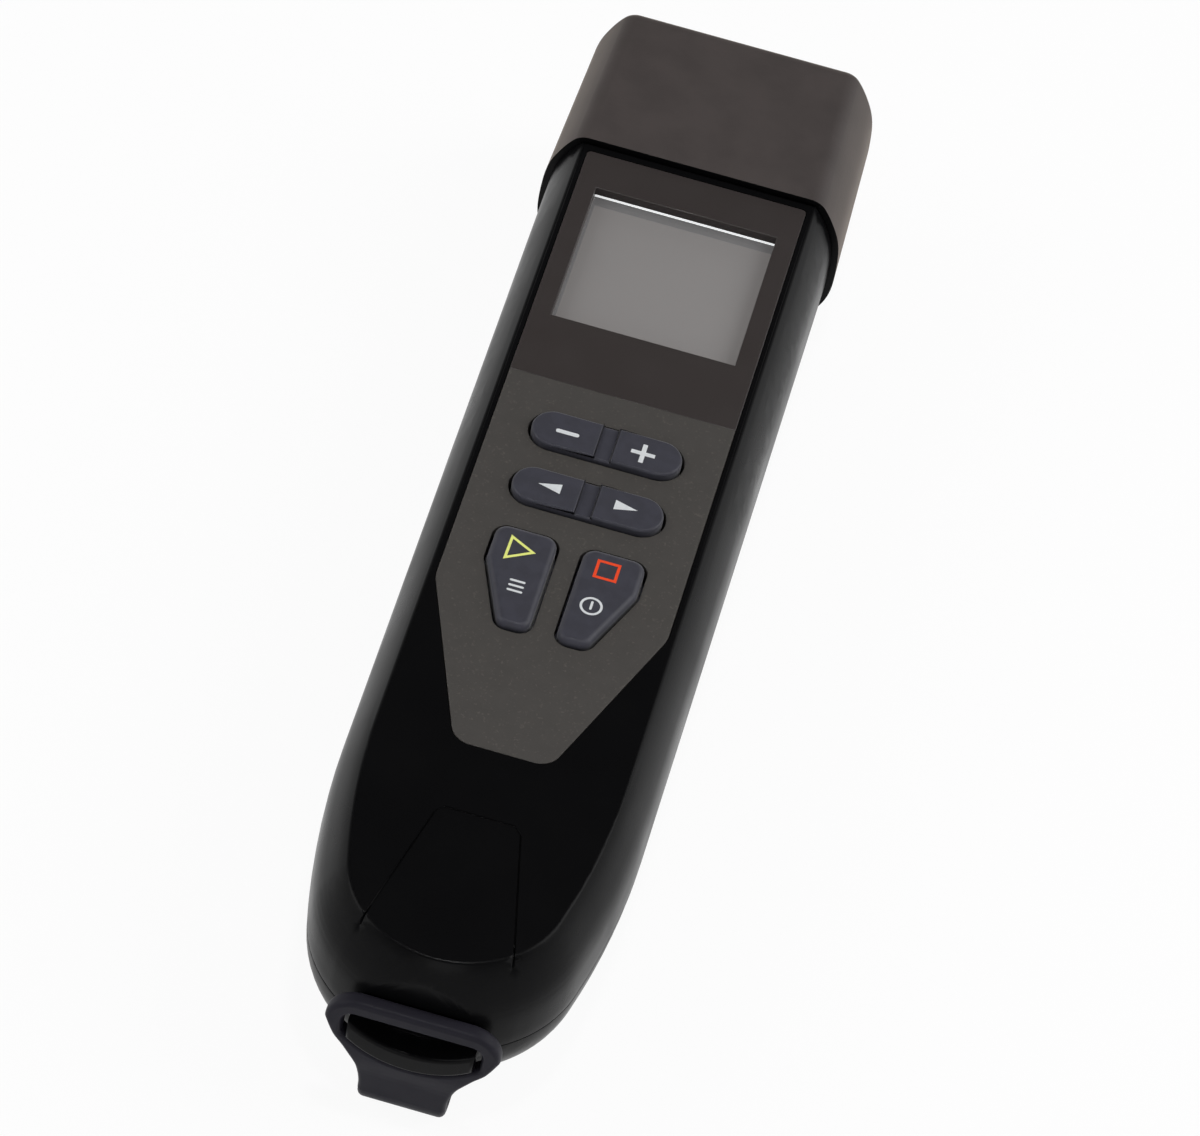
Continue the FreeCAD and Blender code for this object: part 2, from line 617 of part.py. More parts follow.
def front_shell():
    upper = housing.common(above)
    crease = [e for e in top_edges(upper, FRONT_Z) if e.CenterOfMass.y < CAP_EDGE_Y - 0.5]
    outside = upper.makeFillet(CREASE_FILLET, crease).fuse(spigot.common(above))
    shell = outside.cut(hollow).cut(spigot_hollow)
    posts = [case_boss(x, y, PARTING_Z, INNER_FRONT_Z + 1) for x, y in CASE_SCREW_SPOTS]
    posts += [post(BOSS_RADIUS, x, y, BOARD_TOP_Z, INNER_FRONT_Z + 1) for x, y in BOARD_SCREW_SPOTS]
    shell = shell.fuse([p.common(outside) for p in posts])
    tools = [panel_plate(PANEL_GAP, PANEL_FLOOR_Z, FRONT_Z + 1)]
    tools.append(window_box(WINDOW_MARGIN + WINDOW_GAP, INNER_FRONT_Z - 1, PANEL_FLOOR_Z + 1))
    tools += key_holes(INNER_FRONT_Z - 1, PANEL_FLOOR_Z + 1)
    for x, y in CASE_SCREW_SPOTS:
        tools.append(post(INSERT_RADIUS, x, y, PARTING_Z - 1, PARTING_Z + INSERT_LENGTH))
        tools.append(post(CASE_SCREW_RADIUS + SCREW_FREE, x, y, PARTING_Z, PARTING_Z + 9))
    for x, y in BOARD_SCREW_SPOTS:
        tools.append(post(BOARD_SCREW_RADIUS, x, y, BOARD_TOP_Z - 1, BOARD_TOP_Z + 4))
    tools.append(connector_hole)
    for x, z in flange_screw_spots():
        tools.append(rod_y(RF_SCREW_RADIUS, x, z, SPIGOT_END_Y - END_WALL - 2, SPIGOT_END_Y + 1))
    side_x = -HALF_WIDTH
    grow = USB_PORT_CLEARANCE
    tools.append(box(side_x - 2, side_x + 7, USB_Y - USB_WIDTH / 2 - grow,
                     USB_Y + USB_WIDTH / 2 + grow,
                     BOARD_BOTTOM_Z - USB_HEIGHT - grow, BOARD_BOTTOM_Z + grow))
    tools.append(rod_x(PIPE_RADIUS + PIPE_CLEARANCE, PIPE_Y, PORT_Z, side_x - 2, side_x + 7))
    shell = cut(shell, tools)
    return shell.cut(groove_tool())


def groove_line(start, end, z0):
    """Narrow upright slot from one point to the other, as seen from the front."""
    along = V(end[0] - start[0], end[1] - start[1], 0)
    across = V(-along.y, along.x, 0).normalize() * (GROOVE_WIDTH / 2)
    first = V(*start, 0)
    last = V(*end, 0)
    corners = [first + across, first - across, last - across, last + across]
    round_end = post(GROOVE_WIDTH / 2, start[0], start[1], z0, FRONT_Z + 1)
    return fuse([prism([(c.x, c.y) for c in corners], z0, FRONT_Z + 1), round_end])


def groove_tool():
    z0 = FRONT_Z - GROOVE_DEPTH
    inner = GROOVE_TOP_X - GROOVE_CORNER
    slots = [groove_line((inner, GROOVE_TOP_Y), (-inner, GROOVE_TOP_Y), z0)]
    crease_y = NOSE_Y - NOSE_RADIUS + FRONT_PROFILE[-1][1]
    for side in (-1, 1):
        turn = (side * GROOVE_TOP_X, GROOVE_TOP_Y - GROOVE_CORNER)
        end = (side * GROOVE_END_X, NOSE_FLAT_Y)
        slots.append(groove_line((side * inner, GROOVE_TOP_Y), turn, z0))
        slots.append(groove_line(turn, end, z0))
        over_edge = groove_line(turn, end, z0 - GROOVE_EDGE_DEPTH)
        reach = crease_y + GROOVE_EDGE_REACH
        slots.append(over_edge.common(box(-FAR, FAR, -FAR, reach, 0, FAR)))
    return fuse(slots)


def rear_shell():
    outside = fuse([housing.common(below), spigot.common(below), hook_lip()])
    shell = outside.cut(hollow).cut(spigot_hollow)
    extras = [case_boss(x, y, 0, PARTING_Z) for x, y in CASE_SCREW_SPOTS]
    pocket_half = STRAP_WIDTH / 2 + STRAP_CLEARANCE
    reach = STRAP_BEAD_RADIUS + STRAP_CLEARANCE
    block_top = 2 * STRAP_BEAD_RADIUS + STRAP_CLEARANCE + POCKET_WALL
    extras.append(box(-STRAP_PIN_HALF_LENGTH - 1, STRAP_PIN_HALF_LENGTH + 1,
                      STRAP_ANCHOR_Y - reach - POCKET_WALL, STRAP_ANCHOR_Y + reach + POCKET_WALL,
                      BACK_Z, block_top))
    shell = shell.fuse([e.common(outside) for e in extras])
    tools = [box(-pocket_half, pocket_half, -FAR, STRAP_ANCHOR_Y, -1, GROOVE_FLOOR_Z)]
    tools.append(box(-pocket_half, pocket_half, STRAP_ANCHOR_Y - reach, STRAP_ANCHOR_Y + reach,
                     -1, block_top - POCKET_WALL))
    tools.append(rod_x(STRAP_PIN_RADIUS + 0.05, STRAP_ANCHOR_Y, STRAP_BEAD_RADIUS,
                       -STRAP_PIN_HALF_LENGTH, STRAP_PIN_HALF_LENGTH))
    for x, y in CASE_SCREW_SPOTS:
        tools.append(post(CASE_SCREW_HEAD_RADIUS + SCREW_FREE, x, y, -1, CASE_SCREW_HEAD_Z))
        tools.append(post(CASE_SCREW_RADIUS + SCREW_FREE, x, y, 0, PARTING_Z + 1))
    tools.append(connector_hole)
    for x, z in flange_screw_spots():
        tools.append(rod_y(RF_SCREW_RADIUS, x, z, SPIGOT_END_Y - END_WALL - 2, SPIGOT_END_Y + 1))
    tools.append(gasket_ring(0.0, GASKET_HEIGHT + GASKET_CLEARANCE))
    return cut(shell, tools)


def gasket_ring(clearance, height):
    start = 0.6 - clearance
    width = GASKET_WIDTH + 2 * clearance
    return ring_between(start, start + width, PARTING_Z - height, PARTING_Z,
                        CAP_EDGE_Y - 0.6 + clearance)


add("front_shell", front_shell())
add("rear_shell", rear_shell())
add("shell_gasket", gasket_ring(-0.05, GASKET_HEIGHT))


# Front panels and screen

def bezel():
    plate = panel_plate(0, PANEL_FLOOR_Z, FRONT_Z)
    plate = plate.common(box(-FAR, FAR, PANEL_SPLIT_Y, FAR, 0, FAR))
    opening = box(-SCREEN_HALF_WIDTH, SCREEN_HALF_WIDTH, SCREEN_BOTTOM_Y, SCREEN_TOP_Y, 0, FAR)
    return plate.cut(opening)


def keypad_panel():
    plate = panel_plate(0, PANEL_FLOOR_Z, FRONT_Z)
    plate = plate.common(box(-FAR, FAR, -FAR, PANEL_SPLIT_Y, 0, FAR))
    return cut(plate, key_holes(0, FAR))


add("screen_bezel", bezel())
add("keypad_panel", keypad_panel())
add("display_window", window_box(WINDOW_MARGIN, WINDOW_Z, PANEL_FLOOR_Z))
add("lcd_panel", window_box(LCD_MARGIN, LCD_Z, WINDOW_Z))
lcd_frame = window_box(LCD_MARGIN + LCD_FRAME_WALL, BOARD_TOP_Z, LCD_Z)
lcd_frame = lcd_frame.cut(window_box(LCD_MARGIN - LCD_SEAT, BOARD_TOP_Z + LCD_FRAME_FLOOR, LCD_Z))
add("lcd_frame", lcd_frame)

# Keys
add("key_minus_plus", rocker_key(ROCKER_1_Y))
add("key_left_right", rocker_key(ROCKER_2_Y))
add("key_play_menu", push_key(-1))
add("key_stop_power", push_key(1))

# Board, switches and keypad mat
board = box(-BOARD_HALF_WIDTH, BOARD_HALF_WIDTH, BOARD_BOTTOM_Y, BOARD_TOP_Y,
            BOARD_BOTTOM_Z, BOARD_TOP_Z)
slim_y = CAP_EDGE_Y - WALL - 1.5
slim_x = BOARD_HALF_WIDTH - 3.0
board_cuts = [post(BOSS_RADIUS + 0.4, x, y, 0, FAR) for x, y in CASE_SCREW_SPOTS]
board_cuts += [post(BOARD_SCREW_RADIUS + SCREW_FREE, x, y, 0, FAR) for x, y in BOARD_SCREW_SPOTS]
board_cuts += [box(slim_x, FAR, slim_y, FAR, 0, FAR), box(-FAR, -slim_x, slim_y, FAR, 0, FAR)]
add("main_board", cut(board, board_cuts))

switches = [box(x - SWITCH_SIZE / 2, x + SWITCH_SIZE / 2, y - SWITCH_SIZE / 2, y + SWITCH_SIZE / 2,
                BOARD_TOP_Z, BOARD_TOP_Z + SWITCH_HEIGHT) for x, y in switch_spots()]
add("key_switches", Part.makeCompound(switches))

mat_z = BOARD_TOP_Z + MAT_LIFT
mat_top_y = ROCKER_1_Y + ROCKER_HALF_WIDTH + 4.0
mat_low_y = KEY_BOTTOM_Y + 2.0
mat_half = KEY_OUTER_X + 1.0
mat = box(-mat_half, mat_half, mat_low_y, mat_top_y, mat_z, mat_z + MAT_THICKNESS)
mat_feet = [box(sx * mat_half - 1.0, sx * mat_half + 1.0, y - 1.5, y + 1.5, BOARD_TOP_Z,
                mat_z + MAT_THICKNESS)
            for sx in (-1, 1) for y in (mat_low_y + 1.5, mat_top_y - 1.5)]
fulcrum_top = INNER_FRONT_Z - ROCKER_FLANGE_DROP - FLANGE_THICKNESS - FULCRUM_GAP
fulcrums = [box(-FULCRUM_WIDTH / 2, FULCRUM_WIDTH / 2, y - 3.0, y + 3.0, mat_z, fulcrum_top)
            for y in (ROCKER_1_Y, ROCKER_2_Y)]
switch_holes = [box(x - SWITCH_SIZE / 2 - MAT_CLEARANCE, x + SWITCH_SIZE / 2 + MAT_CLEARANCE,
                    y - SWITCH_SIZE / 2 - MAT_CLEARANCE, y + SWITCH_SIZE / 2 + MAT_CLEARANCE,
                    0, FAR) for x, y in switch_spots()]
add("keypad_mat", cut(fuse([mat] + mat_feet + fulcrums), switch_holes).removeSplitter())

# Board screws, case screws and their inserts
board_screws = []
for x, y in BOARD_SCREW_SPOTS:
    head = post(BOARD_SCREW_HEAD_RADIUS, x, y, BOARD_BOTTOM_Z - BOARD_SCREW_HEAD_HEIGHT,
                BOARD_BOTTOM_Z)
    shank = post(BOARD_SCREW_RADIUS, x, y, BOARD_BOTTOM_Z, BOARD_BOTTOM_Z + BOARD_SCREW_LENGTH)
    board_screws.append(head.fuse(shank).removeSplitter())
add("board_screws", Part.makeCompound(board_screws))

case_screws = []
inserts = []
for x, y in CASE_SCREW_SPOTS:
    head = post(CASE_SCREW_HEAD_RADIUS, x, y, CASE_SCREW_HEAD_Z - CASE_SCREW_HEAD_HEIGHT,
                CASE_SCREW_HEAD_Z)
    socket = post(0.9, x, y, CASE_SCREW_HEAD_Z - CASE_SCREW_HEAD_HEIGHT,
                  CASE_SCREW_HEAD_Z - 0.8)
    shank = post(CASE_SCREW_RADIUS, x, y, CASE_SCREW_HEAD_Z, PARTING_Z + INSERT_LENGTH - 0.5)
    case_screws.append(head.fuse(shank).removeSplitter().cut(socket))
    ring = post(INSERT_RADIUS, x, y, PARTING_Z, PARTING_Z + INSERT_LENGTH)
    inserts.append(ring.cut(post(CASE_SCREW_RADIUS, x, y, PARTING_Z, PARTING_Z + INSERT_LENGTH)))
add("case_screws", Part.makeCompound(case_screws))
add("thread_inserts", Part.makeCompound(inserts))


# Battery

def battery_holder():
    radius = CELL_RADIUS + HOLDER_CLEARANCE
    outer = radius + HOLDER_WALL
    room = CONTACT_GAP
    y0 = CELL_BOTTOM_Y - room - HOLDER_WALL
    y1 = CELL_BOTTOM_Y + CELL_LENGTH + room + HOLDER_WALL
    body = box(-outer, outer, y0, y1, CELL_Z, BOARD_BOTTOM_Z)
    cell_room = rod_y(radius, 0, CELL_Z, y0 + HOLDER_WALL, y1 - HOLDER_WALL)
    slot = box(-radius, radius, y0 + HOLDER_WALL, y1 - HOLDER_WALL, 0, CELL_Z)
    return body.cut(cell_room).cut(slot)


add("battery_cell", rod_y(CELL_RADIUS, 0, CELL_Z, CELL_BOTTOM_Y, CELL_BOTTOM_Y + CELL_LENGTH))
add("battery_holder", battery_holder())

contacts = []
for start in (CELL_BOTTOM_Y - CONTACT_GAP, CELL_BOTTOM_Y + CELL_LENGTH + CONTACT_GAP
              - CONTACT_THICKNESS):
    contacts.append(box(-CONTACT_HALF_WIDTH, CONTACT_HALF_WIDTH, start,
                        start + CONTACT_THICKNESS, CELL_Z - CONTACT_BELOW,
                        CELL_Z + CONTACT_ABOVE))
coil_y = CELL_BOTTOM_Y - CONTACT_GAP + CONTACT_THICKNESS
coil = Part.makeCone(CONTACT_COIL_RADIUS, CONTACT_COIL_RADIUS / 1.5,
                     CONTACT_GAP - CONTACT_THICKNESS, V(0, coil_y, CELL_Z), V(0, 1, 0))
contacts[0] = contacts[0].fuse(coil).removeSplitter()
nub_y = CELL_BOTTOM_Y + CELL_LENGTH
nub = rod_y(CONTACT_NUB_RADIUS, 0, CELL_Z, nub_y, nub_y + CONTACT_GAP - CONTACT_THICKNESS)
contacts[1] = contacts[1].fuse(nub).removeSplitter()
add("battery_contacts", Part.makeCompound(contacts))


# RF connector

def rf_connector_body():
    y0 = SPIGOT_END_Y
    y1 = y0 + RF_FLANGE_THICKNESS
    half = RF_FLANGE / 2
    flange = box(-half, half, y0, y1, RF_Z - half, RF_Z + half)
    flange = flange.makeFillet(2.0, edges_along(flange, V(0, 1, 0)))
    barrel = rod_y(RF_THREAD_RADIUS, 0, RF_Z, y1, y1 + RF_BARREL_LENGTH)
    rim = [e for e in barrel.Edges if abs(e.CenterOfMass.y - y1 - RF_BARREL_LENGTH) < 0.01]
    barrel = barrel.makeChamfer(0.6, rim)
    tail = rod_y(RF_TAIL_RADIUS, 0, RF_Z, y0 - RF_TAIL_LENGTH, y0)
    body = fuse([flange, barrel, tail]).removeSplitter()
    body = body.cut(rod_y(RF_BORE_RADIUS, 0, RF_Z, y1 + 2.0, FAR))
    body = body.cut(rod_y(RF_INSULATOR_RADIUS, 0, RF_Z, -FAR, FAR))
    for x, z in flange_screw_spots():
        body = body.cut(rod_y(RF_SCREW_RADIUS + SCREW_FREE, x, z, y0 - 1, y1 + 1))
    neck_y = y1 + RF_BARREL_LENGTH - RF_THREAD_LENGTH
    relief = rod_y(RF_THREAD_RADIUS + 1, 0, RF_Z, neck_y - 1.2, neck_y)
    relief = relief.cut(rod_y(RF_THREAD_RADIUS - 0.5, 0, RF_Z, neck_y - 1.2, neck_y))
    return body.cut(relief)


add("rf_connector_body", rf_connector_body())
insulator_end = SPIGOT_END_Y + RF_FLANGE_THICKNESS + 4.5
tail_y = SPIGOT_END_Y - RF_TAIL_LENGTH
insulator = rod_y(RF_INSULATOR_RADIUS, 0, RF_Z, tail_y, insulator_end)
add("rf_insulator", insulator.cut(rod_y(RF_CONTACT_RADIUS, 0, RF_Z, -FAR, FAR)))
contact_end = SPIGOT_END_Y + RF_FLANGE_THICKNESS + RF_BARREL_LENGTH - 3.0
contact = rod_y(RF_CONTACT_RADIUS, 0, RF_Z, tail_y, contact_end)
contact = contact.cut(rod_y(RF_CONTACT_BORE, 0, RF_Z, contact_end - 5.0, FAR))
add("rf_centre_contact", contact)
lead_foot = rod_y(RF_PIN_RADIUS, 0, RF_Z, tail_y - 3.0, tail_y)
lead_rise = post(RF_PIN_RADIUS, 0, tail_y - 3.0, RF_Z, BOARD_BOTTOM_Z)
add("rf_board_lead", lead_foot.fuse(lead_rise).removeSplitter())

flange_screws = []
for x, z in flange_screw_spots():
    y1 = SPIGOT_END_Y + RF_FLANGE_THICKNESS
    head = rod_y(RF_SCREW_HEAD_RADIUS, x, z, y1, y1 + RF_SCREW_HEAD_HEIGHT)
    shank = rod_y(RF_SCREW_RADIUS, x, z, y1 - RF_SCREW_LENGTH, y1)
    slot = box(x - RF_SLOT_WIDTH / 2, x + RF_SLOT_WIDTH / 2,
               y1 + RF_SCREW_HEAD_HEIGHT - RF_SLOT_DEPTH, y1 + RF_SCREW_LENGTH,
               z - RF_SCREW_HEAD_RADIUS, z + RF_SCREW_HEAD_RADIUS)
    flange_screws.append(head.fuse(shank).removeSplitter().cut(slot))
add("rf_flange_screws", Part.makeCompound(flange_screws))

# Small parts on the board
side_surface_x = HALF_WIDTH - 0.4
usb_x0 = -side_surface_x + USB_RECESS
usb = box(usb_x0, usb_x0 + USB_LENGTH, USB_Y - USB_WIDTH / 2, USB_Y + USB_WIDTH / 2,
          BOARD_BOTTOM_Z - USB_HEIGHT, BOARD_BOTTOM_Z)
usb = usb.makeFillet(USB_CORNER_RADIUS, edges_along(usb, V(1, 0, 0)))
usb_room = box(usb_x0 - 1, usb_x0 + USB_LENGTH - 1.0, USB_Y - USB_WIDTH / 2 + USB_WALL,
               USB_Y + USB_WIDTH / 2 - USB_WALL, BOARD_BOTTOM_Z - USB_HEIGHT + USB_WALL,
               BOARD_BOTTOM_Z - USB_WALL)
usb_room = usb_room.makeFillet(USB_CORNER_RADIUS - USB_WALL, edges_along(usb_room, V(1, 0, 0)))
tongue = box(usb_x0 + USB_TONGUE_SET_BACK, usb_x0 + USB_LENGTH,
             USB_Y - USB_TONGUE_HALF, USB_Y + USB_TONGUE_HALF,
             PORT_Z - USB_TONGUE_THICKNESS / 2, PORT_Z + USB_TONGUE_THICKNESS / 2)
add("usb_port", usb.cut(usb_room).fuse(tongue).removeSplitter())

pipe = rod_x(PIPE_RADIUS, PIPE_Y, PORT_Z, -side_surface_x + 0.1, -BOARD_HALF_WIDTH + 3.0)
pipe_foot = box(-BOARD_HALF_WIDTH + 1.0, -BOARD_HALF_WIDTH + 3.0, PIPE_Y - 1, PIPE_Y + 1,
                PORT_Z, BOARD_BOTTOM_Z)
add("charge_light_pipe", pipe.fuse(pipe_foot).removeSplitter())

shield = box(-SHIELD_HALF_WIDTH, SHIELD_HALF_WIDTH, SHIELD_BOTTOM_Y, SHIELD_TOP_Y,
             BOARD_BOTTOM_Z - SHIELD_HEIGHT, BOARD_BOTTOM_Z)
shield_room = box(-SHIELD_HALF_WIDTH + SHIELD_WALL, SHIELD_HALF_WIDTH - SHIELD_WALL,
                  SHIELD_BOTTOM_Y + SHIELD_WALL, SHIELD_TOP_Y - SHIELD_WALL,
                  BOARD_BOTTOM_Z - SHIELD_HEIGHT + SHIELD_WALL, BOARD_BOTTOM_Z)
add("rf_shield", shield.cut(shield_room))
buzzer = post(BUZZER_RADIUS, 0, BUZZER_Y, BOARD_BOTTOM_Z - BUZZER_HEIGHT, BOARD_BOTTOM_Z)
sound_hole = post(1.0, 0, BUZZER_Y, BOARD_BOTTOM_Z - BUZZER_HEIGHT - 1,
                  BOARD_BOTTOM_Z - BUZZER_HEIGHT + 1)
add("buzzer", buzzer.cut(sound_hole))


# Cap

def protective_cap():
    y0 = CAP_EDGE_Y + CAP_EDGE_GAP
    base = cross_section(-CAP_PROUD, y0)
    end = cross_section(-CAP_PROUD, CAP_TOP_Y, CAP_TAPER)
    outside = Part.makeLoft([base, end], True, True)
    turns = [e for e in outside.Edges
             if abs(e.CenterOfMass.z - FRONT_Z - CAP_PROUD) < 0.01 and abs(e.CenterOfMass.x) > 1]
    outside = outside.makeFillet(CAP_SIDE_RADIUS, turns)
    rim = [e for e in outside.Edges if abs(e.CenterOfMass.y - CAP_TOP_Y) < 0.01]
    outside = outside.makeFillet(CAP_EDGE_RADIUS, rim)
    fit = SPIGOT_INSET - CAP_CLEARANCE
    socket = section_prism(fit, y0 - 1, SPIGOT_END_Y + 0.5)
    reach = RF_FLANGE * math.sqrt(0.5) + 1.0
    room = rod_y(reach - 4.0, 0, RF_Z, y0, CAP_TOP_Y - CAP_END_WALL)
    room = room.common(section_prism(fit + 0.6, y0, CAP_TOP_Y - CAP_END_WALL))
    corners = box(-RF_FLANGE / 2 - 0.6, RF_FLANGE / 2 + 0.6, y0,
                  SPIGOT_END_Y + RF_FLANGE_THICKNESS + RF_SCREW_HEAD_HEIGHT + 0.6,
                  RF_Z - RF_FLANGE / 2 - 0.6, RF_Z + RF_FLANGE / 2 + 0.6)
    return cut(outside, [fuse([socket, room, corners])])


add("protective_cap", protective_cap())

# Strap
add("strap_back", strap_run())
add("strap_ring", strap_ring())
add("strap_anchor_pin", rod_x(STRAP_PIN_RADIUS, STRAP_ANCHOR_Y, STRAP_BEAD_RADIUS,
                              -STRAP_PIN_HALF_LENGTH + 0.2, STRAP_PIN_HALF_LENGTH - 0.2))

for name, shape in parts.items():
    placed = shape.translated(V(0, -CENTRE_Y, 0))
    solids = placed.Solids
    whole = solids[0] if len(solids) == 1 else Part.makeCompound(solids)
    bounds = whole.BoundBox
    print(name, len(solids), whole.isValid(), "volume", round(whole.Volume, 1),
          "x", round(bounds.XMin, 2), round(bounds.XMax, 2),
          "y", round(bounds.YMin, 2), round(bounds.YMax, 2),
          "z", round(bounds.ZMin, 2), round(bounds.ZMax, 2))
    whole.exportStep("parts/" + name + ".step")
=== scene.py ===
import math

import bmesh
import bpy
from bpy.props import FloatProperty, FloatVectorProperty, IntProperty, PointerProperty
from mathutils import Matrix, Vector


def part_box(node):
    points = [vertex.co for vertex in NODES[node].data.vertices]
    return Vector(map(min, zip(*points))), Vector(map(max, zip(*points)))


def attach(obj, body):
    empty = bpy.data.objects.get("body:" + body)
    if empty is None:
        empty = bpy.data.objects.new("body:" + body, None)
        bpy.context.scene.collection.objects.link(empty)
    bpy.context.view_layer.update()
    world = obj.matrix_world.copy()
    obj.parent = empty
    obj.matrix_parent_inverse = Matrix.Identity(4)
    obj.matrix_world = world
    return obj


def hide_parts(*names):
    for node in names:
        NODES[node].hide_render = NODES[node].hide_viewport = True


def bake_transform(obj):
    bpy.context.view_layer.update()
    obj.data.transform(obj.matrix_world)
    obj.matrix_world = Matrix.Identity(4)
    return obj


bl_info = {
    "name": "Antenna analyzer",
    "version": (1, 0, 0),
    "blender": (4, 5, 0),
    "location": "View3D > Sidebar > Analyzer",
    "description": "Handheld antenna analyzer with screen, rubber keys, cap and hooked strap",
    "category": "Object",
}

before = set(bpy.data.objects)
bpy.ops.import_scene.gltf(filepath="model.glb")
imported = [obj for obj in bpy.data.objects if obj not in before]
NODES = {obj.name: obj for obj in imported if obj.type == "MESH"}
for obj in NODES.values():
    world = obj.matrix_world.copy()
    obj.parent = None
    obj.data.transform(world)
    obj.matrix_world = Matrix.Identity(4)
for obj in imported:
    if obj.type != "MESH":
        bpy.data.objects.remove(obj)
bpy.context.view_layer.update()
MM = 0.001

# Heights of the front, in millimetres above the table
FRONT_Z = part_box("screen_bezel")[1].z / MM
PARTING_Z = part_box("shell_gasket")[1].z / MM
# The keys are drawn a little low, so that the ink on them stays inside the solid's height
INK_ROOM = 0.04
KEY_TOP_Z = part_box("key_play_menu")[1].z / MM - INK_ROOM
ROCKER_Y = tuple((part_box(node)[0].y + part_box(node)[1].y) / 2 / MM
                 for node in ("key_minus_plus", "key_left_right"))
# Each key has a flange below the front, from which its stem rises
FLANGE_RIM = 1.0
FLANGE_HEIGHT = 1.0
STEM_START = 0.5
# Signs and push keys are drawn with the upper rocker at 10.3, then moved along
DRAWN_ROCKER_Y = 10.3
SHIFT_Y = ROCKER_Y[0] - DRAWN_ROCKER_Y
SHARP_ANGLE = math.radians(32)

# Sockets of the Mix node when it mixes colours
MIX_SHARE, MIX_FIRST, MIX_SECOND, MIX_RESULT = 0, 6, 7, 2


def linear(code):
    """An sRGB hex colour as linear red, green, blue and alpha."""
    parts = [int(code[i:i + 2], 16) / 255 for i in (0, 2, 4)]
    light = [c / 12.92 if c <= 0.04045 else ((c + 0.055) / 1.055) ** 2.4 for c in parts]
    return tuple(light) + (1.0,)


def colour_setting(name, description, code):
    return FloatVectorProperty(name=name, description=description, subtype="COLOR", size=4,
                               min=0.0, max=1.0, default=linear(code))


def length_setting(name, description, value):
    """A length in millimetres."""
    return FloatProperty(name=name, description=description, default=value, min=0.0, precision=3)


# Settings

class HousingSettings(bpy.types.PropertyGroup):
    shell_colour: colour_setting("Shell", "Colour of the moulded shells", "0b0b0c")
    grain_size: length_setting("Grain", "Size of the shell's texture grain in mm", 0.34)
    grain_depth: length_setting("Grain depth", "Depth of the shell's texture in mm", 0.011)
    parting_groove: length_setting("Parting groove", "Edge radius at the parting line in mm", 0.22)


class FrontSettings(bpy.types.PropertyGroup):
    bezel_colour: colour_setting("Bezel", "Colour of the panel round the screen", "363130")
    keypad_colour: colour_setting("Keypad panel", "Colour of the panel round the keys", "3b3835")
    fleck_colour: colour_setting("Flecks", "Colour of the keypad panel's flecks", "4c4843")
    screen_colour: colour_setting("Screen", "Colour of the unlit display", "7d7876")
    # The display is unlit: its glow is painted light, an emission standing in for the light that
    # falls on it, shared by the painted shadow bands
    painted_screen_glow: FloatProperty(name="Screen glow", default=0.4, min=0.0,
                               description="Light gathered by the display's diffuser")
    # The screen border is a painted shadow: the grey band that the recess's top and left walls
    # cast on the display
    recess_shadow_colour: colour_setting("Screen border", "Colour of the display's border", "565455")
    recess_shadow_height: length_setting("Border height", "Border above the display in mm", 2.1)


class KeySettings(bpy.types.PropertyGroup):
    rubber_colour: colour_setting("Key rubber", "Colour of the silicone keys", "2f2f39")
    white_ink: colour_setting("White ink", "Colour of the plain legends", "d7dadc")
    play_ink: colour_setting("Play ink", "Colour of the play legend", "e6eb82")
    stop_ink: colour_setting("Stop ink", "Colour of the stop legend", "eb4619")
    rim_radius: length_setting("Rim radius", "Rounding of the key tops in mm", 1.1)
    saddle_depth: length_setting("Saddle depth", "Middle of a rocker below its pads in mm", 0.5)


class RubberSettings(bpy.types.PropertyGroup):
    cap_colour: colour_setting("Cap", "Colour of the silicone cap", "3b3534")
    strap_colour: colour_setting("Strap", "Colour of the rubber strap", "232229")
    strap_edge: length_setting("Strap edge", "Rounding of the strap's edges in mm", 1.1)


class StageSettings(bpy.types.PropertyGroup):
    floor_colour: colour_setting("Floor", "Colour of the table", "f2f2f3")
    lens: FloatProperty(name="Lens", description="Focal length of the camera", default=195.0,
                        min=1.0, unit="CAMERA")
    key_light: FloatProperty(name="Key light", description="Power of the key light in watts",
                             default=5.4, min=0.0)
    fill_light: FloatProperty(name="Fill light", description="Power of the fill light in watts",
                              default=3.2, min=0.0)
    front_light: FloatProperty(name="Front light", description="Power of the front light in watts",
                               default=1.4, min=0.0)
    edge_light: FloatProperty(name="Edge light", description="Power of the lamp above in watts",
                              default=2.4, min=0.0)
    smoothness: IntProperty(name="Smoothness", description="Segments of a rounded edge",
                            default=6, min=2, max=12)


SETTING_GROUPS = {
    "analyzer_housing": HousingSettings,
    "analyzer_front": FrontSettings,
    "analyzer_keys": KeySettings,
    "analyzer_rubber": RubberSettings,
    "analyzer_stage": StageSettings,
}


# Materials

def add_node(tree, kind, settings=None, links=None):
    """Adds one node with its settings, by option or input name, and its links, by input name."""
    node = tree.nodes.new("ShaderNode" + kind)
    for name, value in (settings or {}).items():
        if isinstance(name, int) or name in node.inputs:
            node.inputs[name].default_value = value
        else:
            setattr(node, name, value)
    for name, socket in (links or {}).items():
        tree.links.new(socket, node.inputs[name])
    return node


def new_material(name, colour, roughness, ior=1.5, metallic=0.0):
    """A material with one principled shader, whose even values are on its own sockets."""
    material = bpy.data.materials.new(name)
    material.use_nodes = True
    shader = material.node_tree.nodes["Principled BSDF"]
    shader.inputs["Base Color"].default_value = colour
    shader.inputs["Roughness"].default_value = roughness
    shader.inputs["Metallic"].default_value = metallic
    shader.inputs["IOR"].default_value = ior
    return material, material.node_tree, shader


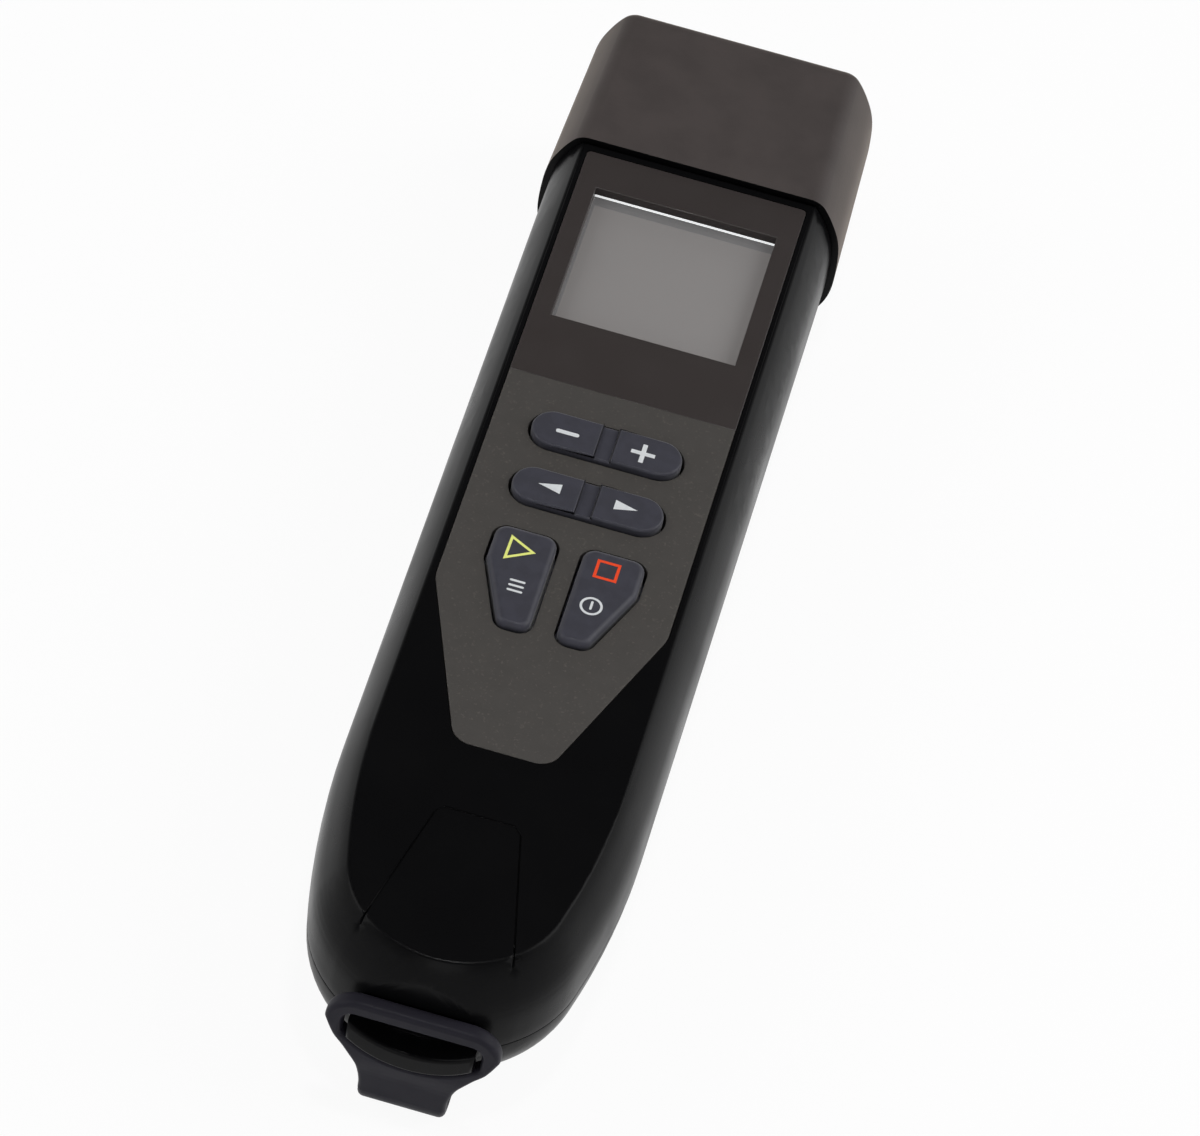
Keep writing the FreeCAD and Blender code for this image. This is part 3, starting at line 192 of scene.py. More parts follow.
def add_surface(tree, shader, size_mm, depth_mm, detail=2.0):
    """Fine relief of one grain size, from moulding, blasting or casting."""
    place = add_node(tree, "TexCoord")
    grain = add_node(tree, "TexNoise", {"Scale": 1.0 / (size_mm * MM), "Detail": detail,
                                        "Roughness": 0.6}, {"Vector": place.outputs["Object"]})
    relief = add_node(tree, "Bump", {"Strength": 1.0, "Distance": depth_mm * MM},
                      {"Height": grain.outputs["Fac"]})
    tree.links.new(relief.outputs["Normal"], shader.inputs["Normal"])
    return place


def vary_roughness(tree, shader, place, size_mm, low, high):
    """Handling and cooling leave patches that are a little shinier."""
    patch = add_node(tree, "TexNoise", {"Scale": 1.0 / (size_mm * MM), "Detail": 3.0},
                     {"Vector": place.outputs["Object"]})
    spread = add_node(tree, "MapRange", {"From Min": 0.3, "From Max": 0.7, "To Min": low,
                                         "To Max": high}, {"Value": patch.outputs["Fac"]})
    tree.links.new(spread.outputs["Result"], shader.inputs["Roughness"])


def vary_colour(tree, shader, place, size_mm, first, second, low=0.4, high=0.6):
    """Two close colours in patches of one size."""
    patch = add_node(tree, "TexNoise", {"Scale": 1.0 / (size_mm * MM), "Detail": 4.0},
                     {"Vector": place.outputs["Object"]})
    share = add_node(tree, "MapRange", {"From Min": low, "From Max": high},
                     {"Value": patch.outputs["Fac"]})
    mix = add_node(tree, "Mix", {"data_type": "RGBA", MIX_FIRST: first, MIX_SECOND: second},
                   {MIX_SHARE: share.outputs["Result"]})
    tree.links.new(mix.outputs[MIX_RESULT], shader.inputs["Base Color"])


def tinted(colour, factor):
    """The colour made lighter or darker."""
    return tuple(min(1.0, c * factor) for c in colour[:3]) + (1.0,)


def spark_eroded_abs(settings):
    # ABS moulded in a spark-eroded tool: black, with an even fine grain that
    # breaks the light into specks where the surface turns away from the eye
    material, tree, shader = new_material("spark_eroded_abs", settings.shell_colour,
                                          roughness=0.34)
    place = add_surface(tree, shader, settings.grain_size, settings.grain_depth)
    shader.inputs["Specular IOR Level"].default_value = 0.07
    vary_roughness(tree, shader, place, size_mm=14.0, low=0.26, high=0.34)
    return material


def hard_coated_sheet(settings):
    # Polycarbonate sheet with a hard coat, printed dark on its back: even, a
    # little glossy, with a soft skin of reflection over the brown-black print
    material, tree, shader = new_material("hard_coated_sheet", settings.bezel_colour,
                                          roughness=0.32)
    place = add_surface(tree, shader, size_mm=1.6, depth_mm=0.004)
    vary_roughness(tree, shader, place, size_mm=9.0, low=0.28, high=0.36)
    return material


def textured_film(settings):
    # Embossed polyester film with warm grey ink: matt, mottled, with pale flecks
    material, tree, shader = new_material("textured_film", settings.keypad_colour, roughness=0.62)
    place = add_surface(tree, shader, size_mm=0.5, depth_mm=0.018)
    patch_size, fleck_size = 3.2 * MM, 0.55 * MM
    patch = add_node(tree, "TexNoise", {"Scale": 1.0 / patch_size, "Detail": 5.0,
                                        "Roughness": 0.65}, {"Vector": place.outputs["Object"]})
    patch_share = add_node(tree, "MapRange", {"From Min": 0.35, "From Max": 0.68},
                           {"Value": patch.outputs["Fac"]})
    mottled = add_node(tree, "Mix", {"data_type": "RGBA",
                                     MIX_FIRST: tinted(settings.keypad_colour, 0.94),
                                     MIX_SECOND: tinted(settings.keypad_colour, 1.06)},
                       {MIX_SHARE: patch_share.outputs["Result"]})
    fleck = add_node(tree, "TexNoise", {"Scale": 1.0 / fleck_size, "Detail": 1.0},
                     {"Vector": place.outputs["Object"]})
    fleck_share = add_node(tree, "MapRange", {"From Min": 0.62, "From Max": 0.80},
                           {"Value": fleck.outputs["Fac"]})
    whole = add_node(tree, "Mix", {"data_type": "RGBA", MIX_SECOND: settings.fleck_colour},
                     {MIX_SHARE: fleck_share.outputs["Result"],
                      MIX_FIRST: mottled.outputs[MIX_RESULT]})
    tree.links.new(whole.outputs[MIX_RESULT], shader.inputs["Base Color"])
    return material


def clear_polycarbonate(settings):
    # Flat cast window with an anti-glare coat: the screen shows through it
    # almost unchanged, under a very thin veil that is a painted reflection, the window drawn as 6
    # % white
    material, tree, shader = new_material("clear_polycarbonate", linear("ffffff"),
                                          roughness=0.12, ior=1.58)
    # Painted reflection: 6 % of a white surface lies over the screen
    shader.inputs["Alpha"].default_value = 0.06
    add_surface(tree, shader, size_mm=6.0, depth_mm=0.001)
    return material


def display_glass(settings):
    # Liquid crystal over a diffusing sheet, behind a matt polariser: a warm grey
    # that stays even right up to the shadow of its frame. The display is unlit, and its
    # grey is mostly painted light: a dark base under an emission of the screen's colour
    material, tree, shader = new_material("display_glass", settings.screen_colour, roughness=0.5)
    shader.inputs["Emission Color"].default_value = settings.screen_colour
    shader.inputs["Emission Strength"].default_value = settings.painted_screen_glow
    place = add_surface(tree, shader, size_mm=0.4, depth_mm=0.002)
    vary_colour(tree, shader, place, size_mm=22.0, first=tinted(settings.screen_colour, 0.28),
                second=tinted(settings.screen_colour, 0.3))
    return material


def display_border(settings):
    # Painted shadow of the recess's top and left walls on the display: the same polariser over a
    # darker grey, glowing like the display
    material, tree, shader = new_material("display_border", tinted(settings.recess_shadow_colour, 0.4),
                                          roughness=0.5)
    shader.inputs["Emission Color"].default_value = settings.recess_shadow_colour
    shader.inputs["Emission Strength"].default_value = settings.painted_screen_glow
    add_surface(tree, shader, size_mm=0.4, depth_mm=0.002)
    return material


def reflector_edge(settings):
    # White edge of the display's light guide along the top of the opening, with a painted
    # highlight: its bright line is an emission standing in for the light caught at that edge
    material, tree, shader = new_material("reflector_edge", linear("f4f6f7"), roughness=0.35)
    shader.inputs["Emission Color"].default_value = linear("f4f6f7")
    shader.inputs["Emission Strength"].default_value = 0.85
    add_surface(tree, shader, size_mm=0.6, depth_mm=0.003)
    return material


def key_silicone(settings):
    # Compression moulded silicone: soft blue-black, matt, paler where it turns away
    material, tree, shader = new_material("key_silicone", settings.rubber_colour,
                                          roughness=0.5, ior=1.41)
    place = add_surface(tree, shader, size_mm=0.45, depth_mm=0.008)
    shader.inputs["Sheen Weight"].default_value = 0.25
    shader.inputs["Sheen Roughness"].default_value = 0.45
    vary_colour(tree, shader, place, size_mm=2.5, first=tinted(settings.rubber_colour, 0.92),
                second=tinted(settings.rubber_colour, 1.1))
    return material


def legend_ink(name, colour):
    # Pad-printed silicone ink: thin, even and matt, with a slight tooth
    material, tree, shader = new_material(name, colour, roughness=0.55, ior=1.41)
    place = add_surface(tree, shader, size_mm=0.3, depth_mm=0.004)
    vary_colour(tree, shader, place, size_mm=0.9, first=tinted(colour, 0.94), second=colour)
    return material


def cap_silicone(settings):
    # Thick moulded silicone: brown-grey, velvety, with dust and rubbed patches
    material, tree, shader = new_material("cap_silicone", settings.cap_colour,
                                          roughness=0.62, ior=1.41)
    place = add_surface(tree, shader, size_mm=0.55, depth_mm=0.016)
    shader.inputs["Sheen Weight"].default_value = 0.35
    shader.inputs["Sheen Roughness"].default_value = 0.4
    shader.inputs["Sheen Tint"].default_value = linear("b9a895")
    vary_colour(tree, shader, place, size_mm=7.0, first=tinted(settings.cap_colour, 0.92),
                second=tinted(settings.cap_colour, 1.12), low=0.35, high=0.65)
    return material


def strap_rubber(settings):
    # Moulded rubber, violet-black: smooth, half matt, worn paler at its edges
    material, tree, shader = new_material("strap_rubber", settings.strap_colour,
                                          roughness=0.45, ior=1.45)
    shader.inputs["Specular IOR Level"].default_value = 0.1
    place = add_surface(tree, shader, size_mm=0.7, depth_mm=0.008)
    vary_roughness(tree, shader, place, size_mm=5.0, low=0.38, high=0.52)
    return material


def plain_plastic(name, code, roughness, grain_mm=0.4, depth_mm=0.008):
    # Plain plastic of the inner parts and the connector: even, with a faint mottle
    material, tree, shader = new_material(name, linear(code), roughness)
    place = add_surface(tree, shader, grain_mm, depth_mm)
    vary_colour(tree, shader, place, size_mm=6.0, first=tinted(linear(code), 0.93),
                second=tinted(linear(code), 1.06))
    return material


def worked_metal(name, code, roughness, grain_mm=0.5, depth_mm=0.003):
    # Plated, stamped or turned metal: bright, with fine tool marks
    material, tree, shader = new_material(name, linear(code), roughness, metallic=1.0)
    place = add_surface(tree, shader, grain_mm, depth_mm)
    vary_roughness(tree, shader, place, size_mm=3.0, low=roughness * 0.8,
                   high=roughness * 1.2)
    return material


# Shapes

def extruded(bm, faces, move):
    """Extrudes faces by a move in metres, and gives the new faces and points."""
    grown = bmesh.ops.extrude_face_region(bm, geom=faces)["geom"]
    points = [g for g in grown if isinstance(g, bmesh.types.BMVert)]
    bmesh.ops.translate(bm, vec=move, verts=points)
    return [g for g in grown if isinstance(g, bmesh.types.BMFace)], points


def start_prism(bm, corners, low, high):
    """Solid between two heights over an outline of a few corners, in mm."""
    verts = [bm.verts.new((x * MM, y * MM, low * MM)) for x, y in corners]
    base = bm.faces.new(verts)
    return verts + extruded(bm, [base], (0, 0, (high - low) * MM))[1]


def upright_edges(verts):
    """Edges between these points that run straight up, in the same order each run."""
    found = dict.fromkeys(e for v in verts for e in v.link_edges if e.other_vert(v) in verts)
    return [e for e in found if (e.verts[0].co - e.verts[1].co).to_2d().length < 1e-7]


def round_corners(bm, edges, radius, segments):
    """Rounds each edge to the radius, whatever the angle of its faces."""
    for edge in edges:
        reach = radius * MM * math.tan(edge.calc_face_angle() / 2)
        bmesh.ops.bevel(bm, geom=[edge], offset=reach, offset_type="OFFSET", segments=segments,
                        profile=0.5, affect="EDGES", material=-1, clamp_overlap=False)


def soften(bm, edges, radius, segments):
    """Rounds a chain of edges together."""
    bmesh.ops.bevel(bm, geom=edges, offset=radius * MM, offset_type="OFFSET", segments=segments,
                    profile=0.5, affect="EDGES", material=-1, clamp_overlap=True)


def edges_at_height(bm, z):
    return [e for e in bm.edges if all(abs(v.co.z - z * MM) < 1e-7 for v in e.verts)]


def rim_edges(bm, z):
    """Outline edges of the level faces at one height."""
    return [e for e in edges_at_height(bm, z)
            if any(abs(f.normal.z) < 0.5 for f in e.link_faces)]


def place_mesh(name, bm):
    """Turns the shape into an object in the scene."""
    mesh = bpy.data.meshes.new(name)
    bm.to_mesh(mesh)
    bm.free()
    piece = bpy.data.objects.new(name, mesh)
    bpy.context.scene.collection.objects.link(piece)
    return piece


def finish_piece(name, bm, material, body, replaced=(), fix_normals=True):
    """Turns the shape into a piece that rides on its body, if it has one alone."""
    if fix_normals:
        bmesh.ops.remove_doubles(bm, verts=bm.verts, dist=1e-6)
        bmesh.ops.recalc_face_normals(bm, faces=bm.faces)
    piece = place_mesh(name, bm)
    piece.data.materials.append(material)
    piece.data.shade_smooth()
    piece.data.set_sharp_from_angle(angle=SHARP_ANGLE)
    if body:
        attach(piece, body)
    if replaced:
        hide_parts(*replaced)
    return piece


def even_shading(piece):
    """Keeps big flat faces flat where they run into rounded edges."""
    shading = piece.modifiers.new("even_shading", "WEIGHTED_NORMAL")
    shading.keep_sharp = True
    shading.weight = 60


def merged_copy(node):
    """The CAD node's shape with its loose triangles joined."""
    bm = bmesh.new()
    bm.from_mesh(NODES[node].data)
    bmesh.ops.remove_doubles(bm, verts=bm.verts, dist=2e-6)
    bmesh.ops.dissolve_degenerate(bm, edges=bm.edges, dist=1e-7)
    return bm


def stadium(bm, half_length, half_width, centre_y, low, high, segments):
    """Solid with two round ends, in mm."""
    corners = [(-half_length, centre_y - half_width), (half_length, centre_y - half_width),
               (half_length, centre_y + half_width), (-half_length, centre_y + half_width)]
    verts = start_prism(bm, corners, low, high)
    bm.normal_update()
    # A hair less than the half width, so that two corners never meet
    round_corners(bm, upright_edges(verts), half_width - 0.001, segments)


def move_along(bm):
    """Takes a drawn shape to its place along the body."""
    bmesh.ops.translate(bm, vec=(0, SHIFT_Y * MM, 0), verts=bm.verts)


def smooth_path(points, steps):
    """Points on a smooth curve through the given ones."""
    padded = [points[0]] + list(points) + [points[-1]]
    path = []
    for before, start, end, after in zip(padded, padded[1:], padded[2:], padded[3:]):
        for step in range(steps):
            t = step / steps
            path.append(tuple(
                0.5 * (2 * q + (r - p) * t + (2 * p - 5 * q + 4 * r - w) * t ** 2
                       + (3 * q - p - 3 * r + w) * t ** 3)
                for p, q, r, w in zip(before, start, end, after)))
    return path + [tuple(points[-1])]


def arc_path(centre, radius, start, end, steps):
    """Points on an arc between two angles in degrees."""
    angles = [math.radians(start + (end - start) * k / steps) for k in range(steps + 1)]
    return [(centre[0] + radius * math.cos(a), centre[1] + radius * math.sin(a)) for a in angles]


def paint_nodes(material, *names):
    """Gives CAD nodes their material."""
    for name in names:
        slots = NODES[name].data.materials
        slots.clear()
        slots.append(material)


class PieceOperator:
    bl_options = {"REGISTER", "UNDO"}


class ANALYZER_OT_stage(PieceOperator, bpy.types.Operator):
    """Adds the table, the light and the camera"""
    bl_idname = "analyzer.stage"
    bl_label = "Stage"
    floor_half = 4.0
    floor_glow_share = 0.93
    # Each lamp's place and size in metres, and the setting that holds its power
    lamps = (("lamp_right", (0.75, 0.25, 0.62), 0.7, "key_light"),
             ("lamp_left", (-0.8, -0.1, 0.6), 0.6, "fill_light"),
             ("lamp_front", (0.1, -0.95, 0.55), 0.5, "front_light"),
             ("lamp_above", (0.03, -0.06, 1.0), 0.1, "edge_light"))
    lamp_target = (0, 0, 0.02)
    # The camera's two axes and its place in metres, fitted to the photograph
    camera_across = (0.96095206, 0.24288383, 0.13258429)
    camera_up = (-0.27026022, 0.72090722, 0.63816314)
    camera_spot = (0.070168, -0.721779, 0.860382)

    def execute(self, context):
        settings = context.scene.analyzer_stage
        self.add_floor(settings)
        self.add_world()
        for name, spot, size, power in self.lamps:
            self.add_lamp(name, spot, size, getattr(settings, power))
        self.add_camera(settings)
        context.scene.view_settings.view_transform = "Standard"
        return {"FINISHED"}

    def add_floor(self, settings):
        # Lacquered table: pale, with a weak reflection; it shows near white to the
        # eye and in mirrors, and keeps the object's soft shadow
        material, tree, shader = new_material("lacquered_table", settings.floor_colour,
                                              roughness=0.28)
        shader.inputs["Specular IOR Level"].default_value = 0.35
        add_surface(tree, shader, size_mm=9.0, depth_mm=0.01)
        glow = add_node(tree, "Emission", {"Color": linear("ffffff"), "Strength": 1.0})
        path = add_node(tree, "LightPath")
        seen = add_node(tree, "Math", {"operation": "MAXIMUM"},
                        {0: path.outputs["Is Camera Ray"], 1: path.outputs["Is Glossy Ray"]})
        seen_through = add_node(tree, "Math", {"operation": "MAXIMUM"},
                                {0: seen.outputs[0], 1: path.outputs["Is Transmission Ray"]})
        share = add_node(tree, "Math", {"operation": "MULTIPLY", 1: self.floor_glow_share},
                         {0: seen_through.outputs[0]})
        mix = add_node(tree, "MixShader", None, {0: share.outputs[0], 1: shader.outputs[0],
                                                 2: glow.outputs[0]})
        output = tree.nodes["Material Output"]
        tree.links.new(mix.outputs[0], output.inputs["Surface"])
        bm = bmesh.new()
        bmesh.ops.create_grid(bm, x_segments=4, y_segments=4, size=self.floor_half)
        floor = place_mesh("table_top", bm)
        floor.data.materials.append(material)

    def add_world(self):
        # Bright near the horizon and dim overhead, as in a tent of white paper
        world = bpy.data.worlds.new("paper_tent")
        world.use_nodes = True
        tree = world.node_tree
        place = add_node(tree, "TexCoord")
        split = add_node(tree, "SeparateXYZ", None, {"Vector": place.outputs["Generated"]})
        ramp = add_node(tree, "MapRange", {"From Min": 0.05, "From Max": 0.62, "To Min": 1.0,
                                           "To Max": 0.03}, {"Value": split.outputs["Z"]})
        sky = tree.nodes["Background"]
        sky.inputs["Color"].default_value = linear("ffffff")
        tree.links.new(ramp.outputs["Result"], sky.inputs["Strength"])
        bpy.context.scene.world = world

    def add_lamp(self, name, spot, size, power):
        light = bpy.data.lights.new(name, "AREA")
        light.shape = "SQUARE"
        light.size = size
        light.energy = power
        lamp = bpy.data.objects.new(name, light)
        aim = Vector(self.lamp_target) - Vector(spot)
        turn = aim.to_track_quat("-Z", "Y").to_matrix().to_4x4()
        lamp.matrix_world = Matrix.Translation(spot) @ turn
        bpy.context.scene.collection.objects.link(lamp)

    def add_camera(self, settings):
        across = Vector(self.camera_across)
        up = Vector(self.camera_up)
        back = across.cross(up)
        x, y, z = self.camera_spot
        spot = Vector((x, y + SHIFT_Y * MM, z))
        camera = bpy.data.cameras.new("camera")
        camera.lens = settings.lens
        camera.sensor_width = 36.0
        camera.sensor_fit = "HORIZONTAL"
        camera.clip_start = 0.05
        turn = Matrix((across, up, back)).transposed().to_4x4()
        holder = bpy.data.objects.new("camera", camera)
        holder.matrix_world = Matrix.Translation(spot) @ turn
        bpy.context.scene.collection.objects.link(holder)
        bpy.context.scene.camera = holder


class ANALYZER_OT_shells(PieceOperator, bpy.types.Operator):
    """Adds the front and rear shell with a fine groove where they meet"""
    bl_idname = "analyzer.shells"
    bl_label = "Shells"
    # A face counts as level when its normal is this upright
    level = 0.99999
    # Just inside the housing's widest outline, in mm, before the move along the body
    straight_half = 25.8
    cap_edge_y = 77.8
    shoulder_y = -59.6
    shoulder_centre_x = -110.9
    shoulder_radius = 136.6
    nose_y = -85.8
    # Small enough for the flat seat behind the strap's ring, which cuts the nose off
    nose_radius = 20.8
    # Outward is away from the middle line and, past this y in metres, from this point on it
    outward_from = -0.085

    def execute(self, context):
        settings = context.scene.analyzer_housing
        material = spark_eroded_abs(settings)
        for node in ("front_shell", "rear_shell"):
            bm = merged_copy(node)
            self.join_level_faces(bm)
            self.round_parting_edge(bm, settings.parting_groove)
            piece = finish_piece("dressed_" + node, bm, material, "housing", (node,),
                                 fix_normals=False)
            even_shading(piece)
        return {"FINISHED"}

    def join_level_faces(self, bm):
        """The flat front and back become large faces; the rounded sides stay as they are."""
        bm.normal_update()
        level = [e for e in bm.edges if len(e.link_faces) == 2
                 and all(abs(f.normal.z) > self.level for f in e.link_faces)]
        verts = [v for v in bm.verts if all(abs(f.normal.z) > self.level for f in v.link_faces)]
        bmesh.ops.dissolve_limit(bm, angle_limit=math.radians(0.1), verts=verts, edges=level)

    def round_parting_edge(self, bm, radius):
        """The outermost edge at the parting height gets a small radius."""
        bm.normal_update()
        edges = []
        for edge in edges_at_height(bm, PARTING_Z):
            flat = [f for f in edge.link_faces if abs(f.normal.z) > 0.9]
            side = [f for f in edge.link_faces if abs(f.normal.z) < 0.4]
            if not (flat and side):
                continue
            middle = (edge.verts[0].co + edge.verts[1].co) / 2
            outward = Vector((middle.x, min(middle.y - self.outward_from, 0.0), 0))
            if side[0].normal.dot(outward) > 0 and self.is_outside(middle):
                edges.append(edge)
        if not edges:
            raise RuntimeError("no parting edge was found")
        soften(bm, edges, radius, 2)

    def is_outside(self, spot):
        """Near the widest outline of the housing, at the parting height."""
        x, y = abs(spot.x / MM), spot.y / MM - SHIFT_Y
        if y > self.shoulder_y:
            return x > self.straight_half and y < self.cap_edge_y
        if y > self.nose_y:
            reach = math.hypot(x - self.shoulder_centre_x, y - self.shoulder_y)
            return reach > self.shoulder_radius
        return math.hypot(x, y - self.nose_y) > self.nose_radius


class ANALYZER_OT_front_panels(PieceOperator, bpy.types.Operator):
    """Adds the panel round the screen and the panel round the keys"""
    bl_idname = "analyzer.front_panels"
    bl_label = "Front panels"
    rim_radius = 0.12
    level_angle = math.radians(0.5)

    def execute(self, context):
        settings = context.scene.analyzer_front
        self.add_panel("screen_bezel", hard_coated_sheet(settings), "bezel_dark")
        self.add_panel("keypad_panel", textured_film(settings), "panel_olive")
        return {"FINISHED"}

    def add_panel(self, node, material, slot):
        bm = merged_copy(node)
        bmesh.ops.dissolve_limit(bm, angle_limit=self.level_angle, verts=bm.verts,
                                 edges=bm.edges)
        bm.normal_update()
        soften(bm, rim_edges(bm, FRONT_Z), self.rim_radius, 2)
        piece = finish_piece("dressed_" + node, bm, material, "housing", (node,),
                             fix_normals=False)
        even_shading(piece)


class ANALYZER_OT_display(PieceOperator, bpy.types.Operator):
    """Adds the display, painted shadow bands at its top and left, its glowing white edge and its
    window
    """
    bl_idname = "analyzer.display"
    bl_label = "Display"
    # Opening inside the window's edges, in mm
    side_inset = 1.2
    lower_inset = 2.2
    upper_inset = 0.2
    white_line = 0.75
    side_shadow_width = 0.55
    # Heights against the panel's top, in mm: the painted shadow bands and the white edge are sunk
    # a little into the glass, and stay clear of the window
    window_gap = 0.06
    glass_drop = 0.02
    strip_root = 0.03
    shadow_rise = 0.01
    white_rise = 0.04
    rim_radius = 0.05

    def execute(self, context):
        settings = context.scene.analyzer_front
        low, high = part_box("display_window")
        window = (low.x / MM, high.x / MM, low.y / MM, high.y / MM)
        panel_low, panel_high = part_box("lcd_panel")
        panel = (panel_low.x / MM, panel_high.x / MM, panel_low.y / MM, panel_high.y / MM)
        top = panel_high.z / MM
        self.add_plate("display_window_clear", window, top + self.window_gap, high.z / MM,
                       clear_polycarbonate(settings), ("display_window",), "window_clear")
        self.add_plate("display_glass", panel, panel_low.z / MM, top - self.glass_drop,
                       display_glass(settings), ("lcd_panel",), "lcd_grey")
        opening = (window[0] + self.side_inset, window[1] - self.side_inset,
                   window[2] + self.lower_inset, window[3] - self.upper_inset)
        line = self.white_line
        root = top - self.strip_root
        # Painted shadow: grey bands where the recess's top and left walls shade the display
        shadow_paint = display_border(settings)
        upper = (opening[0], opening[1], opening[3] - line - settings.recess_shadow_height,
                 opening[3] - line)
        self.add_plate("display_border_top", upper, root, top + self.shadow_rise, shadow_paint)
        side = (opening[0], opening[0] + self.side_shadow_width, opening[2], upper[2])
        self.add_plate("display_border_side", side, root, top + self.shadow_rise, shadow_paint)
        # The white edge glows with a painted highlight
        edge = (opening[0], opening[1], opening[3] - line, opening[3] + self.upper_inset)
        self.add_plate("display_white_edge", edge, root, top + self.white_rise,
                       reflector_edge(settings))
        return {"FINISHED"}

    def add_plate(self, name, sides, low, high, material, replaced=(), slot="lcd_grey"):
        x0, x1, y0, y1 = sides
        bm = bmesh.new()
        start_prism(bm, [(x0, y0), (x1, y0), (x1, y1), (x0, y1)], low, high)
        bm.normal_update()
        soften(bm, rim_edges(bm, high), min(self.rim_radius, (high - low) / 3), 2)
        finish_piece(name, bm, material, "housing", replaced)


class ANALYZER_OT_rocker_keys(PieceOperator, bpy.types.Operator):
    """Adds the two rocker keys, each with two raised pads"""
    bl_idname = "analyzer.rocker_keys"
    bl_label = "Rocker keys"
    half_length = 13.2
    half_width = 3.9
    saddle_half = 1.35
    rim_share = 0.42

    def execute(self, context):
        settings = context.scene.analyzer_keys
        segments = context.scene.analyzer_stage.smoothness
        material = key_silicone(settings)
        for node, y in zip(("key_minus_plus", "key_left_right"), ROCKER_Y):
            bm = self.key_shape(y, settings, segments)
            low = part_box(node)[0].z / MM
            stadium(bm, self.half_length + FLANGE_RIM, self.half_width + FLANGE_RIM, y,
                    low, low + FLANGE_HEIGHT, segments * 2)
            piece = finish_piece("dressed_" + node, bm, material, node, (node,))
            even_shading(piece)
        return {"FINISHED"}

    def key_shape(self, y, settings, segments):
        bm = bmesh.new()
        saddle_z = KEY_TOP_Z - settings.saddle_depth
        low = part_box("key_minus_plus")[0].z / MM + STEM_START
        stadium(bm, self.half_length, self.half_width, y, low, saddle_z, segments * 2)
        bmesh.ops.remove_doubles(bm, verts=bm.verts, dist=5e-6)
        for side in (-1, 1):
            geom = bm.verts[:] + bm.edges[:] + bm.faces[:]
            bmesh.ops.bisect_plane(bm, geom=geom, dist=1e-7, plane_no=(1, 0, 0),
                                   plane_co=(side * self.saddle_half * MM, 0, 0))
        bm.normal_update()
        tops = [f for f in bm.faces if abs(f.calc_center_median().z - saddle_z * MM) < 1e-7
                and abs(f.calc_center_median().x) > self.saddle_half * MM]
        raised = []
        for top in tops:
            grown = bmesh.ops.extrude_discrete_faces(bm, faces=[top])["faces"]
            raised += grown
        for face in raised:
            bmesh.ops.translate(bm, vec=(0, 0, settings.saddle_depth * MM), verts=face.verts)
        bm.normal_update()
        saddle_reach = (self.saddle_half + 0.01) * MM
        rims = rim_edges(bm, KEY_TOP_Z)
        rims += [e for e in rim_edges(bm, saddle_z)
                 if all(abs(v.co.x) < saddle_reach for v in e.verts)
                 and abs(e.verts[0].co.y - e.verts[1].co.y) < 1e-7]
        soften(bm, rims, settings.rim_radius * self.rim_share, segments)
        return bm


class ANALYZER_OT_push_keys(PieceOperator, bpy.types.Operator):
    """Adds the two push keys, which narrow towards the bottom"""
    bl_idname = "analyzer.push_keys"
    bl_label = "Push keys"
    # Outline of one key, in mm from the middle line and along the body as drawn
    inner_x = 2.3
    outer_x = 13.0
    tip_x = 7.6
    top_y = -13.1
    waist_y = -20.8
    tip_y = -34.3
    corner_radius = 2.2

    def execute(self, context):
        settings = context.scene.analyzer_keys
        segments = context.scene.analyzer_stage.smoothness
        material = bpy.data.materials["key_silicone"]
        for node, side in (("key_play_menu", -1), ("key_stop_power", 1)):
            bm = bmesh.new()
            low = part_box(node)[0].z / MM
            self.outline_prism(bm, side, 0.0, low + STEM_START, KEY_TOP_Z, segments)
            bm.normal_update()
            soften(bm, rim_edges(bm, KEY_TOP_Z), settings.rim_radius, segments)
            self.outline_prism(bm, side, FLANGE_RIM, low, low + FLANGE_HEIGHT,
                               segments)
            move_along(bm)
            piece = finish_piece("dressed_" + node, bm, material, node, (node,))
            even_shading(piece)
        return {"FINISHED"}

    def outline_prism(self, bm, side, grow, low, high, segments):
        inner, outer = self.inner_x - grow, self.outer_x + grow
        top, tip = self.top_y + grow, self.tip_y - grow
        corners = [(inner, top), (inner, tip), (self.tip_x + grow, tip), (outer, self.waist_y),
                   (outer, top)]
        verts = start_prism(bm, [(side * x, y) for x, y in corners], low, high)
        bm.normal_update()
        round_corners(bm, upright_edges(verts), self.corner_radius + grow, segments)


